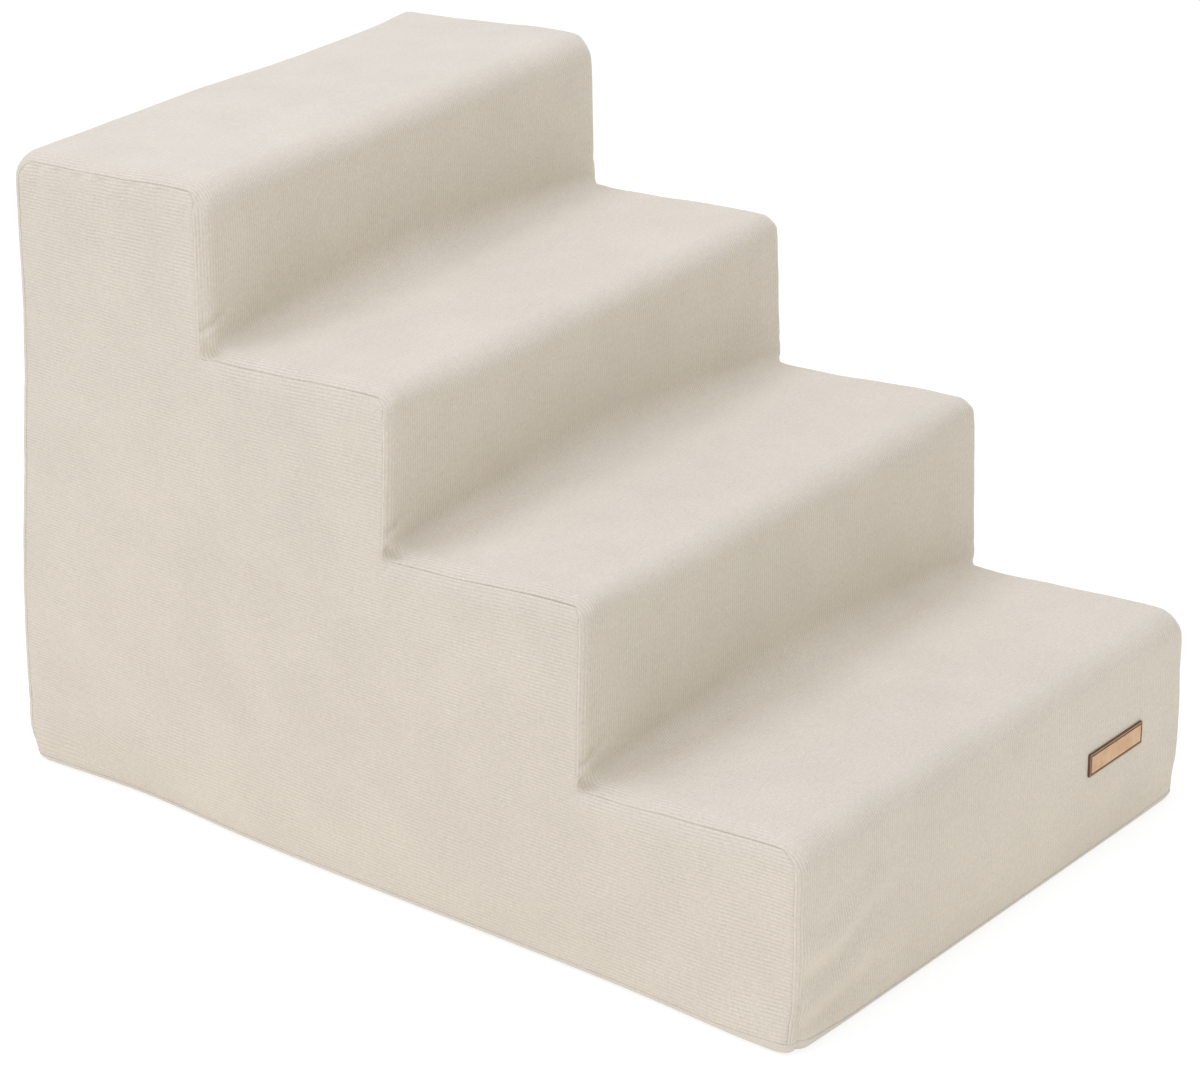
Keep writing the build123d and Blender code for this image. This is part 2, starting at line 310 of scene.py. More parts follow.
def makeNeedlecord(spec):
    # fine-waled cotton cord: soft ribs every 2 mm with painted shade that colours the valleys between them darker, a
    # brushed nap that stays matt, and a faint bloom at grazing angles
    material, add, link = newMaterial(spec["name"], {
        "Roughness": 0.92, "IOR": 1.46, "Specular IOR Level": 0.25,
        "Sheen Weight": 0.18, "Sheen Roughness": 0.45, "Sheen Tint": (1.0, 0.98, 0.95, 1),
    })
    uv = add("ShaderNodeUVMap", uv_map="clothMap")
    place = add("ShaderNodeTexCoord", out="Object")
    parts = add("ShaderNodeSeparateXYZ", {0: uv}, out=None)
    # the ribs wander by a fraction of their width, as woven ones do
    wander = add("ShaderNodeTexNoise", {"Vector": uv, "Scale": 28.0, "Detail": 2.0}, out="Fac")
    wander = add("ShaderNodeMath", {0: wander, 1: spec["wander"] * mm}, operation="MULTIPLY")
    across = add("ShaderNodeMath", {0: parts["X"], 1: wander}, operation="ADD")
    angle = add("ShaderNodeMath", {0: across, 1: 2 * math.pi / (spec["pitch"] * mm)}, operation="MULTIPLY")
    wave = add("ShaderNodeMath", {0: angle}, operation="SINE")
    rib = add("ShaderNodeMapRange", {"Value": wave, "From Min": -1.0, "From Max": 1.0})
    rib = add("ShaderNodeMath", {0: rib, 1: spec["roundness"]}, operation="POWER")
    # the pile is brushed unevenly, so the ribs show more in some patches of about 15 mm than in others
    brushed = add("ShaderNodeTexNoise", {"Vector": uv, "Scale": 65.0, "Detail": 2.0}, out="Fac")
    brushed = add("ShaderNodeMapRange", {
        "Value": brushed, "From Min": 0.35, "From Max": 0.65, "To Min": 0.35, "To Max": 1.4,
    })
    rib = add("ShaderNodeMath", {0: rib, 1: spec["middle"]}, operation="SUBTRACT")
    rib = add("ShaderNodeMath", {0: rib, 1: brushed, 2: spec["middle"]}, operation="MULTIPLY_ADD")
    # painted shade: the valleys between the ribs take the darker colour, on top of the shading that the bump gives
    # them
    tone = add("ShaderNodeMix", {
        0: rib, 6: hexColour(spec["valley"]), 7: hexColour(spec["ridge"]),
    }, out=2, data_type="RGBA")
    fibres = add("ShaderNodeVectorMath", {0: uv, 1: (2000.0, 520.0, 1.0)}, operation="MULTIPLY")
    threads = add("ShaderNodeVectorMath", {0: uv, 1: (900.0, 900.0, 1.0)}, operation="MULTIPLY")
    layers = (
        # the nap: short fibres that lie along the ribs, about 0.5 mm apart
        ("nap", fibres, 1.0, 2.0, 0.6),
        # cross threads, drawn at 1.1 mm so that they still show as a fine grain
        ("grain", threads, 1.0, 1.0, 0.5),
        # slubs and crossed fibres, 2 to 4 mm across
        ("slub", place, 330.0, 2.0, 0.6),
        # brushed patches and handling marks, a few centimetres across
        ("patch", place, 26.0, 3.0, 0.55),
        ("cloud", place, 6.0, 2.0, 0.5),
    )
    shade = 1.0
    height = add("ShaderNodeMath", {0: rib, 1: spec["height"]["rib"]}, operation="MULTIPLY")
    for name, vector, scale, detail, roughness in layers:
        value = add("ShaderNodeTexNoise", {
            "Vector": vector, "Scale": scale, "Detail": detail, "Roughness": roughness,
        }, out="Fac")
        contrast = spec["contrast"][name]
        part = add("ShaderNodeMapRange", {
            "Value": value, "From Min": 0.3, "From Max": 0.7, "To Min": 1 - contrast, "To Max": 1 + contrast,
        })
        shade = add("ShaderNodeMath", {0: shade, 1: part}, operation="MULTIPLY")
        if name in spec["height"]:
            height = add("ShaderNodeMath", {
                0: value, 1: spec["height"][name], 2: height,
            }, operation="MULTIPLY_ADD")
    link("Base Color", add("ShaderNodeVectorMath", {0: tone, "Scale": shade}, operation="SCALE"))
    link("Normal", add("ShaderNodeBump", {"Strength": 1.0, "Distance": mm, "Height": height}))
    return material


def makePlainCloth(name, colour, dark, threadSize, shader, depth=0.06):
    # a plain weave: over and under threads in both directions, as on a tape, a ribbon or the base cloth
    material, add, link = newMaterial(name, shader)
    uv = add("ShaderNodeUVMap", uv_map="clothMap")
    parts = add("ShaderNodeSeparateXYZ", {0: uv}, out=None)
    threads = []
    for axis in ("X", "Y"):
        turn = math.pi / (threadSize * mm)
        angle = add("ShaderNodeMath", {0: parts[axis], 1: turn}, operation="MULTIPLY")
        threads.append(add("ShaderNodeMath", {0: angle}, operation="SINE"))
    weave = add("ShaderNodeMath", dict(enumerate(threads)), operation="MULTIPLY")
    over = add("ShaderNodeMapRange", {"Value": weave, "From Min": -1.0, "From Max": 1.0})
    place = add("ShaderNodeTexCoord", out="Object")
    patches = add("ShaderNodeTexNoise", {"Vector": place, "Scale": 40.0, "Detail": 3.0}, out="Fac")
    blend = add("ShaderNodeMath", {0: patches, 1: 0.35, 2: over}, operation="MULTIPLY_ADD")
    link("Base Color", add("ShaderNodeMix", {
        0: blend, 6: hexColour(dark), 7: hexColour(colour),
    }, out=2, data_type="RGBA"))
    height = add("ShaderNodeMath", {0: over, 1: depth}, operation="MULTIPLY")
    link("Normal", add("ShaderNodeBump", {"Strength": 0.8, "Distance": mm, "Height": height}))
    return material


def makeThread(name, colour, dark):
    # spun polyester thread: matt, with the slant of its twist and stray fibres as small changes of tone
    material, add, link = newMaterial(name, {"Roughness": 0.7, "IOR": 1.54, "Sheen Weight": 0.2})
    place = add("ShaderNodeTexCoord", out="Object")
    twist = add("ShaderNodeTexWave", {
        "Vector": place, "Scale": 420.0, "Distortion": 1.5, "Detail": 1.0,
    }, out="Fac", bands_direction="DIAGONAL")
    fuzz = add("ShaderNodeTexNoise", {"Vector": place, "Scale": 900.0, "Detail": 2.0}, out="Fac")
    blend = add("ShaderNodeMath", {0: twist, 1: fuzz}, operation="MULTIPLY")
    link("Base Color", add("ShaderNodeMix", {
        0: blend, 6: hexColour(dark), 7: hexColour(colour),
    }, out=2, data_type="RGBA"))
    link("Normal", add("ShaderNodeBump", {"Strength": 0.5, "Distance": 0.08 * mm, "Height": twist}))
    return material


def makeNylon(name, colour, dark):
    # extruded nylon monofilament: slightly translucent, smooth, with a soft highlight along each loop
    material, add, link = newMaterial(name, {
        "Roughness": 0.34, "IOR": 1.53, "Subsurface Weight": 0.12, "Subsurface Scale": 0.6 * mm,
    })
    place = add("ShaderNodeTexCoord", out="Object")
    patches = add("ShaderNodeTexNoise", {"Vector": place, "Scale": 260.0, "Detail": 2.0}, out="Fac")
    link("Base Color", add("ShaderNodeMix", {
        0: patches, 6: hexColour(dark), 7: hexColour(colour),
    }, out=2, data_type="RGBA"))
    link("Roughness", add("ShaderNodeMapRange", {"Value": patches, "To Min": 0.28, "To Max": 0.42}))
    return material


def makeNickel(name, colour, dark):
    # die-cast zinc with satin nickel plating: grey-warm metal with fine tumbling marks
    material, add, link = newMaterial(name, {"Metallic": 1.0, "Roughness": 0.3})
    place = add("ShaderNodeTexCoord", out="Object")
    marks = add("ShaderNodeTexNoise", {
        "Vector": place, "Scale": 1500.0, "Detail": 4.0, "Roughness": 0.7,
    }, out="Fac")
    patches = add("ShaderNodeTexNoise", {"Vector": place, "Scale": 220.0, "Detail": 2.0}, out="Fac")
    link("Base Color", add("ShaderNodeMix", {
        0: patches, 6: hexColour(dark), 7: hexColour(colour),
    }, out=2, data_type="RGBA"))
    link("Roughness", add("ShaderNodeMapRange", {
        "Value": marks, "From Min": 0.3, "From Max": 0.7, "To Min": 0.24, "To Max": 0.4,
    }))
    link("Normal", add("ShaderNodeBump", {"Strength": 0.25, "Distance": 0.05 * mm, "Height": marks}))
    return material


def makeLeather(spec):
    # vegetable-tanned cowhide: tan, a fine pebbled grain, and brown burnt edges where a laser cut and engraved it
    material, add, link = newMaterial(spec["name"], {"Roughness": 0.55, "IOR": 1.5, "Specular IOR Level": 0.4})
    place = add("ShaderNodeTexCoord", out="Object")
    pebbles = add("ShaderNodeTexVoronoi", {
        "Vector": place, "Scale": 1 / (spec["pebble"] * mm), "Randomness": 1.0,
    }, out="Distance")
    pores = add("ShaderNodeTexNoise", {"Vector": place, "Scale": 1800.0, "Detail": 2.0}, out="Fac")
    patches = add("ShaderNodeTexNoise", {
        "Vector": place, "Scale": 130.0, "Detail": 4.0, "Roughness": 0.6,
    }, out="Fac")
    burn = add("ShaderNodeAttribute", out="Fac", attribute_name="burn")
    blend = add("ShaderNodeMapRange", {"Value": patches, "From Min": 0.3, "From Max": 0.7})
    tone = add("ShaderNodeMix", {
        0: blend, 6: hexColour(spec["dark"]), 7: hexColour(spec["light"]),
    }, out=2, data_type="RGBA")
    edge = add("ShaderNodeMath", {0: pores, 1: 0.35, 2: burn}, operation="MULTIPLY_ADD")
    edge = add("ShaderNodeMapRange", {"Value": edge, "From Min": 0.3, "From Max": 1.0})
    link("Base Color", add("ShaderNodeMix", {
        0: edge, 6: tone, 7: hexColour(spec["burnt"]),
    }, out=2, data_type="RGBA"))
    link("Roughness", add("ShaderNodeMapRange", {"Value": pores, "To Min": 0.45, "To Max": 0.7}))
    height = add("ShaderNodeMath", {0: pebbles, 1: 0.5, 2: pores}, operation="MULTIPLY_ADD")
    link("Normal", add("ShaderNodeBump", {"Strength": 0.5, "Distance": 0.08 * mm, "Height": height}))
    return material


def makeFoam(name, colour, dark):
    # open-cell polyurethane foam: pale yellow-white, with cells of about 1 mm cut through at its faces
    material, add, link = newMaterial(name, {"Roughness": 0.95, "IOR": 1.4, "Specular IOR Level": 0.15})
    place = add("ShaderNodeTexCoord", out="Object")
    cells = add("ShaderNodeTexVoronoi", {"Vector": place, "Scale": 1000.0}, out="Distance")
    link("Base Color", add("ShaderNodeMix", {
        0: cells, 6: hexColour(dark), 7: hexColour(colour),
    }, out=2, data_type="RGBA"))
    link("Normal", add("ShaderNodeBump", {"Strength": 0.9, "Distance": 0.5 * mm, "Height": cells}))
    return material


cord = {
    # the valley colour is darker than the ridge colour as painted shade in the grooves between the ribs
    "name": "cotton needlecord", "ridge": "#E0D6C7", "valley": "#D3C9B9",
    # millimetres; a roundness below 1 makes the ribs broad and the valleys narrow about the middle tone
    "pitch": 2.0, "wander": 0.9, "roundness": 0.6, "middle": 0.6,
    "height": {"rib": 0.09, "nap": 0.10, "grain": 0.07},
    "contrast": {"nap": 0.06, "grain": 0.045, "slub": 0.03, "patch": 0.02, "cloud": 0.02},
}
hide = {
    "name": "vegetable-tanned leather", "pebble": 0.7,
    "light": "#E2BD98", "dark": "#CFA47C", "burnt": "#6A4B37",
}
matt = {"Roughness": 0.9, "Sheen Weight": 0.1}
woven = {"Roughness": 0.8, "Sheen Weight": 0.1}
glossy = {"Roughness": 0.38, "IOR": 1.55, "Anisotropic": 0.5}
needlecord = makeNeedlecord(cord)
baseCloth = makePlainCloth("polyester base cloth", "#E0D7CA", "#D0C6B7", 0.9, matt)
tapeCloth = makePlainCloth("woven polyester tape", "#DED8CA", "#C4BCAC", 0.7, woven)
satin = makePlainCloth("polyester satin ribbon", "#F3F1EC", "#DEDBD4", 0.4, glossy, 0.03)
seamThread = makeThread("spun polyester thread", "#E3DCCE", "#B9B09F")
nylon = makeNylon("nylon monofilament", "#E6E0D2", "#CFC6B4")
nickel = makeNickel("satin nickel on zinc", "#C4C1BA", "#A8A49C")
leather = makeLeather(hide)
foamCells = makeFoam("open-cell polyurethane foam", "#EFE8CF", "#CFC49E")
gripDot = newMaterial("soft grip compound", {"Roughness": 0.6, "IOR": 1.5})[0]
print("materials made")


# the form of the cover, in millimetres

coverForm = {
    # radii of the outline at the side seams and in the middle of the width
    "seamNosings": (16.0, 10.0, 11.0, 15.5), "nosing": 14.0, "topBack": (15.0, 21.5), "inner": (5.0, 25.0),
    # how far from the seam each goes over to the other, and how the inner corners are pinched at the seam
    "roundFan": (4.0, 70.0), "innerFan": (8.0, 220.0), "pinch": 5.0, "pinchWidth": 6.0,
    # how the cloth turns over the side edges to the seams
    "treadEdge": {"radius": 14.0, "turn": 50, "back": 2.5},
    "riserEdge": {"radius": 5.0, "turn": 90, "back": 0.0}, "topRiserRadius": 9.5,
    # the base seam as cut, and how far it drops towards the floor
    "baseSeam": 13.0, "seamDropFront": 8.5, "seamDropBack": 3.0, "cornerReach": 34.0, "cornerHold": (0.4, 0.2),
    # the drop is spread over this height under the zip, and over this much more elsewhere
    "spread": 31.0, "spreadMore": 60.0,
    # the whole narrows towards the top and leans, and each step is crowned at its nosing
    "taper": 0.034, "skew": 0.025, "skewHeights": (70.0, 330.0), "crowns": (8.0, 8.7, 7.2, 9.6), "sink": 1.0,
    "topLift": 5.0, "topLiftX": -80.0, "topLiftWidth": 130.0,
    # the left foot flares at its front and is tucked in near the back
    "flare": 5.5, "flareY": 15.0, "tuckIn": 6.0, "tuckInY": 205.0, "footLength": 75.0, "footHeight": 34.0,
    # the upright corners are round up to these heights, at the front and at the back
    "uprightRadius": 13.0, "uprightFront": 58.0, "uprightBack": 34.0,
    "wobble": 0.3, "wobbleWidth": 14.0, "cloth": 1.2,
}
zipWindow = {"halfLength": 180.0, "halfHeight": 6.0, "fold": 1.7}
# distances between the rows of points: on treads, on risers, and near the inner corners up to a height
rowForm = {"tread": 4.2, "riser": 3.9, "near": 1.5, "nearHeight": 18.0}

edgeStops = [0, 0.5, 1, 1.6, 2.3, 3.1, 4.2, 5.6, 7.2, 9.0, 11.0, 13.2, 15.6, 18.4]
baseStops = [13, 13.5, 14.2, 15.2, 16.6, 18.5, 21, 24, 27.5, 31]
foldTop = zipZ + zipWindow["halfHeight"] + zipWindow["fold"]
foldBottom = zipZ - zipWindow["halfHeight"] - zipWindow["fold"]
bandStops = [56.0, 53.0, 50.5, foldTop, foldTop - zipWindow["fold"], 43.0, 41.5, 40.6, 40.0]
stripStops = [40.0, 39.4, 38.5, 37.0, foldBottom + zipWindow["fold"], foldBottom, 29.0, 25.5, 22, 19.5, 17.5]
stripStops += [16.0, 14.8, 13.8, 13.0]
riserEdge, treadEdge = coverForm["riserEdge"], coverForm["treadEdge"]
clothWidth = 2 * (halfWidth + riserEdge["radius"] * (math.pi / 2 - 1))
windowStop = clothWidth / 2 - zipWindow["halfLength"]
edgeColumns = edgeStops + [windowStop, windowStop + 4.5, windowStop + 10]
middleColumns = 40

waveRng = np.random.default_rng(11)


def planeWaves(count, shortest, longest):
    lengths = waveRng.uniform(shortest, longest, count)
    directions = waveRng.normal(size=(count, 3))
    directions /= np.linalg.norm(directions, axis=1, keepdims=True)
    return directions * (2 * math.pi / lengths)[:, None], waveRng.uniform(0, 2 * math.pi, count)


slackWaves = planeWaves(9, 90, 240)
rippleWaves = planeWaves(9, 28, 70)
seamWaves = planeWaves(7, 16, 45)
bandWaves = planeWaves(7, 50, 130)


def waves(points, table):
    directions, phases = table
    return np.sin(points @ directions.T + phases).sum(-1) / math.sqrt(len(phases))


def shares(length, spacing):
    return np.linspace(0, 1, max(2, round(length / spacing)) + 1)[:-1]


def between(pair, share):
    return pair[0] + (pair[1] - pair[0]) * share


def lengthAlong(line):
    return np.concatenate([[0], np.cumsum(np.linalg.norm(np.diff(line, axis=0), axis=1))])


def stairRows(d, backStops):
    # the outline at a distance d from the side seam: points, inward normals, how much each row is a tread's,
    # and the number of its riser
    form = coverForm
    fan = float(smooth(*form["roundFan"], d))
    topBack = between(form["topBack"], fan)
    low, high = form["innerFan"]
    inner = between(form["inner"], min(max((d - low) / (high - low), 0), 1) ** 0.8)
    inner = max(inner - form["pinch"] * float(bell(d, form["pinchWidth"])), 0.3)
    ys, zs, normals, treadness, risers = [], [], [], [], []

    def add(y, z, ny, nz, k, riser):
        count = max(np.size(y), np.size(z))
        ys.extend(np.broadcast_to(y, count))
        zs.extend(np.broadcast_to(z, count))
        normals.extend(np.column_stack([np.broadcast_to(ny, count), np.broadcast_to(nz, count)]))
        treadness.extend(np.broadcast_to(k, count))
        risers.extend([riser] * count)

    def bend(y, z, radius, start, stop, sign, k, riser):
        # an arc about a centre, which lies inside the stairs where the sign is 1
        turn = np.radians(np.linspace(start, stop, len(k) + 1)[:-1])
        across, up = np.cos(turn), np.sin(turn)
        add(y + radius * across, z + radius * up, -sign * across, -sign * up, k, riser)

    for step, (riser, end, tread) in enumerate(zip(riserYs, stepEnds, treadZs)):
        nosing = between((form["seamNosings"][step], form["nosing"]), fan)
        top = tread - nosing
        if step == 0:
            up = np.array(baseStops + list(np.linspace(baseStops[-1], top, 20)[1:-1]))
        else:
            bottom = treadZs[step - 1] + inner
            # closer rows near the inner corner, where the tucks are
            rise = tread - treadZs[step - 1] - 20
            near = np.arange(0, rowForm["nearHeight"], rowForm["near"])
            above = np.arange(rowForm["nearHeight"], rise, rowForm["riser"])
            up = bottom + (top - bottom) * np.concatenate([near, above]) / rise
        add(riser, up, 1, 0, 0, step)
        bend(riser + nosing, top, nosing, 180, 90, 1, np.linspace(0, 1, 10), step)
        start, last = riser + nosing, step == 3
        stop = end - (topBack if last else inner)
        flat = shares(end - riser - (34 if last else 30), rowForm["tread"])
        add(start + (stop - start) * flat, tread, 0, -1, 1, step)
        if not last:
            bend(stop, tread + inner, inner, 270, 360, -1, np.linspace(1, 0, 12), step + 1)
    bend(backY - topBack, topZ - topBack, topBack, 90, 0, 1, np.linspace(1, 0, 10), 4)
    down = np.array(list(np.linspace(topZ - topBack, backStops[0], 78)[:-1]) + list(backStops))
    add(backY, down, -1, 0, 0, 4)
    treadness = np.array(treadness, float)
    for _ in range(5):
        treadness[1:-1] = (treadness[:-2] + 2 * treadness[1:-1] + treadness[2:]) / 4
    return np.column_stack([ys, zs]), np.array(normals), treadness, np.array(risers)


def acrossEdge(d, treadness, risers):
    # where the cloth lies across the stairs at a distance d from the seam:
    # offset from the middle, inset, and distance along the cloth
    riserRadius = np.where(risers == 3, coverForm["topRiserRadius"], riserEdge["radius"])
    radius = between((riserRadius, treadEdge["radius"]), treadness)
    turn = np.radians(between((riserEdge["turn"], treadEdge["turn"]), treadness))
    back = between((riserEdge["back"], treadEdge["back"]), treadness)
    start = halfWidth - back - radius * np.sin(turn)
    a = radius * turn - d
    angle = np.clip(a / radius, 0, None)
    return start + radius * np.sin(angle) + np.minimum(a, 0), radius * (1 - np.cos(angle)), start + a


def clothGrid(backStops, isStrip=False):
    # points of a band of cloth, row by row along the outline and column by column across it,
    # with the distances across the cloth and from the seam
    reach = edgeColumns[-1]
    half = []
    for index in range(len(edgeColumns) + middleColumns):
        share = max(index - len(edgeColumns) + 1, 0) / middleColumns
        nominal = edgeColumns[index] if index < len(edgeColumns) else reach + (clothWidth / 2 - reach) * share
        if isStrip:
            count = len(backStops)
            rows = np.column_stack([np.full(count, backY), backStops])
            normals = np.tile((-1.0, 0.0), (count, 1))
            treadness, risers = np.zeros(count), np.full(count, 4)
        else:
            rows, normals, treadness, risers = stairRows(nominal, backStops)
        whole = acrossEdge(0, treadness, risers)[2]
        d = np.full(len(rows), nominal) if index < len(edgeColumns) else reach + (whole - reach) * share
        x, inset, u = acrossEdge(d, treadness, risers)
        wobble = waves(np.column_stack([np.zeros(len(rows)), rows]), seamWaves) * smooth(14, 40, rows[:, 1])
        wobble = wobble * coverForm["wobble"] * float(bell(nominal, coverForm["wobbleWidth"]))
        half.append((x, rows + normals * (inset + wobble)[:, None], u, d))
    x, place, u, d = (np.stack(part, axis=1) for part in zip(*half))
    mirrored = slice(-2, None, -1)
    xs, us = (np.concatenate([-part, part[:, mirrored]], axis=1) for part in (x, u))
    places, ds = (np.concatenate([part, part[:, mirrored]], axis=1) for part in (place, d))
    return np.concatenate([xs[:, :, None], places], axis=2), us, ds


def gridNormals(grid):
    normals = np.cross(np.gradient(grid, axis=1), np.gradient(grid, axis=0))
    return normals / np.maximum(np.linalg.norm(normals, axis=2, keepdims=True), 1e-9)


# the soft cover's own shape, found by letting the closed cover swell a little over its foam and then capping that
softening = {
    "voxel": 9.0, "frames": 20, "cap": 2.7, "reach": 14.0, "neighbours": 16,
    "cloth": {
        "quality": 5, "mass": 0.3, "tension_stiffness": 25, "compression_stiffness": 25, "shear_stiffness": 12,
        "bending_stiffness": 1.5, "use_pressure": True, "uniform_pressure_force": 5.0,
        "vertex_group_mass": "held", "pin_stiffness": 3,
    },
}
swelling = None


def closedCover(spec):
    # the cover's outline across the whole width, closed at the sides and below, in even cells
    outline = stairRows(60, [40.0, 13.0])[0]
    foot = [(backY - 3, 3.0), (backY - 12, 0.0), (frontY + 12, 0.0), (frontY + 3, 3.0)]
    outline = np.vstack([outline, foot])
    count = len(outline)
    reach = halfWidth - 1
    points = [(side * reach, y, z) for side in (-1, 1) for y, z in outline]
    faces = [list(range(count))[::-1], list(range(count, 2 * count))]
    faces += [(i, (i + 1) % count, count + (i + 1) % count, count + i) for i in range(count)]
    form = meshObject("coverForm", points, faces)
    remesh = form.modifiers.new("remesh", "REMESH")
    remesh.mode = "VOXEL"
    remesh.voxel_size = spec["voxel"] * mm
    return applied(form)


def heldShare(start):
    # held along the side seams, the base seam and the underside, as sewing and the floor hold it
    seamPlaces, seamInward = stairRows(0, [40.0, 13.0])[:2]
    toSeam = np.full(len(start), 1e9)
    for y, z in (seamPlaces + 4.5 * seamInward)[::2]:
        toSeam = np.minimum(toSeam, np.hypot(start[:, 1] - y, start[:, 2] - z))
    atSide = bell(np.abs(start[:, 0]) - halfWidth, 14.0)
    held = np.maximum(bell(toSeam, 9.0) * atSide, 1 - smooth(14, 34, start[:, 2]))
    for riser, tread in zip(riserYs[1:], treadZs[:-1]):
        held = np.maximum(held, 0.6 * bell(np.hypot(start[:, 1] - riser, start[:, 2] - tread), 16.0))
    return held


def simulateCover(spec):
    # gives back a search tree of the cover's points and how far each has moved
    form = closedCover(spec)
    start = pointsOf(form.data)
    group = form.vertex_groups.new(name="held")
    for index, weight in enumerate(heldShare(start)):
        group.add([index], float(weight), "REPLACE")
    cloth = form.modifiers.new("cloth", "CLOTH")
    for key, value in spec["cloth"].items():
        setattr(cloth.settings, key, value)
    cloth.settings.effector_weights.gravity = 0
    cloth.point_cache.frame_start = scene.frame_start = 1
    cloth.point_cache.frame_end = scene.frame_end = spec["frames"]
    for number in range(1, spec["frames"] + 1):
        scene.frame_set(number)
    graph = bpy.context.evaluated_depsgraph_get()
    moved = pointsOf(form.evaluated_get(graph).data) - start
    edges = np.zeros(len(form.data.edges) * 2, int)
    form.data.edges.foreach_get("vertices", edges)
    a, b = edges.reshape(-1, 2).T
    for _ in range(6):
        total, number = moved.copy(), np.ones(len(moved))
        np.add.at(total, a, moved[b])
        np.add.at(total, b, moved[a])
        np.add.at(number, a, 1)
        np.add.at(number, b, 1)
        moved = total / number[:, None]
    far = np.linalg.norm(moved, axis=1, keepdims=True)
    print("cover swelled by up to", round(float(far.max()), 2), "mm before the cap, over", len(start), "points")
    moved *= spec["cap"] / (far + spec["cap"])
    tree = kdtree.KDTree(len(start))
    for index, place in enumerate(start):
        tree.insert(place, index)
    tree.balance()
    bpy.data.objects.remove(form)
    scene.frame_set(1)
    return tree, moved


def swellAt(points):
    swell = np.zeros_like(points)
    if swelling is None:
        return swell
    tree, moved = swelling
    for index, place in enumerate(points):
        near = tree.find_n(place, softening["neighbours"])
        weights = np.array([math.exp(-(gap / softening["reach"]) ** 2) for _, _, gap in near]) + 1e-9
        swell[index] = weights @ moved[[n for _, n, _ in near]] / weights.sum()
    # flat where the zip is sewn in, and little along the upright corners, which their seams hold straight
    x, y, z = points.T
    atZip = smooth(backY - 60, backY - 20, y) * (1 - smooth(60, 160, z))
    corner = np.hypot(halfWidth - np.abs(x), np.minimum(y - frontY, backY - y))
    return swell * ((1 - atZip) * (0.25 + 0.75 * smooth(5, 50, corner)))[:, None]


def settle(points):
    # from the plain sewn shape to the soft one that stands on the floor
    form = coverForm
    points = np.asarray(points, float)
    points = points + swellAt(points)
    x, y, z = points.T
    # the base seam lies close to the floor but at the back, under the zip, and at the front corners
    atBack = smooth(backY - 40, backY - 5, y) * (1 - smooth(halfWidth - 50, halfWidth - 8, np.abs(x)))
    drop = between((form["seamDropFront"], form["seamDropBack"]), atBack)
    for side, hold in zip((-1, 1), form["cornerHold"]):
        drop = drop * (1 - hold * bell(np.hypot(x - side * halfWidth, y - frontY), form["cornerReach"]))
    base = form["baseSeam"]
    # the drop is spread up the sides and the front, so that the ribs keep their pitch
    reach = form["spread"] + form["spreadMore"] * (1 - smooth(backY - 110, backY - 45, y))
    z = np.where(z <= base, z * (base - drop) / base, z - drop * (1 - smooth(base, reach, z)))
    # each step is fullest at its nosing, and the whole has sunk a little
    lift = np.zeros(len(points))
    for number, (riser, end, tread, crown) in enumerate(zip(riserYs, stepEnds, treadZs, form["crowns"])):
        below = treadZs[number - 1] if number else 0
        inStep = smooth(riser - 14, riser - 6, y) if number else 1.0
        lift += crown * (1 - smooth(riser, end, y)) * smooth(below, tread, z) * inStep
    # the top is fullest along its back edge, left of the middle
    leftOfMiddle = bell(x - form["topLiftX"], form["topLiftWidth"])
    lift += form["topLift"] * smooth(riserYs[3] + 40, backY - 15, y) * smooth(treadZs[2], topZ, z) * leftOfMiddle
    z = z + lift
    foot = np.where(x < 0, smooth(90, 195, np.abs(x)), 0) * (1 - smooth(0, form["footHeight"], z))
    x = x - form["flare"] * foot * bell(y - frontY - form["flareY"], form["footLength"])
    x = x + form["tuckIn"] * foot * bell(y - form["tuckInY"], form["footLength"])
    # towards the floor the upright corners turn round
    atFront = y < 0
    upTo = np.where(atFront, smooth(0, form["uprightFront"], z), smooth(0, form["uprightBack"], z))
    radius = form["uprightRadius"] * (1 - upTo)
    outX = np.abs(x) - halfWidth + radius
    outY = np.where(atFront, frontY - y, y - backY) + radius
    turned = (outX > 0) & (outY > 0) & (radius > 0.01)
    share = np.where(turned, np.maximum(outX, outY) / np.maximum(np.hypot(outX, outY), 1e-9), 1.0)
    x = x - np.sign(x) * np.where(turned, outX * (1 - share), 0)
    y = y + np.where(atFront, 1, -1) * np.where(turned, outY * (1 - share), 0)
    skew = form["skew"] * smooth(*form["skewHeights"], z)
    y = y + x / halfWidth * skew * (y - frontY)
    x = x * (1 - form["taper"] * z / topZ)
    return np.column_stack([x, y, z - form["sink"] * smooth(13, 100, z)])


reliefForm = {
    # the seam's rolled ridge, its fine line, and the rows of its stitches
    "ridge": 1.0, "ridgeAt": 1.9, "ridgeWidth": 1.6, "valley": 0.07, "valleyWidth": 0.9,
    "stitch": 0.14, "stitchTurn": 0.62, "gathers": 0.06, "gatherTurn": 1.4,
    # the base seam's line, and the short seams beyond the zip
    "baseLine": 0.3, "baseLineWidth": 0.9, "shortSeam": 0.3, "shortSeamWidth": 0.8,
    # the slack of the cloth, and the folds on the front riser, with the right side's share of them
    "slack": 0.42, "ripple": 0.16, "fold": 1.7, "foldTurn": 4.6, "foldSlope": 0.12, "rightFold": 0.2,
}


def seamStrength(points):
    # how tight the seam lies from place to place
    return np.clip(0.85 + 0.35 * waves(points, bandWaves) + 0.15 * waves(points, seamWaves), 0.15, 1.7)


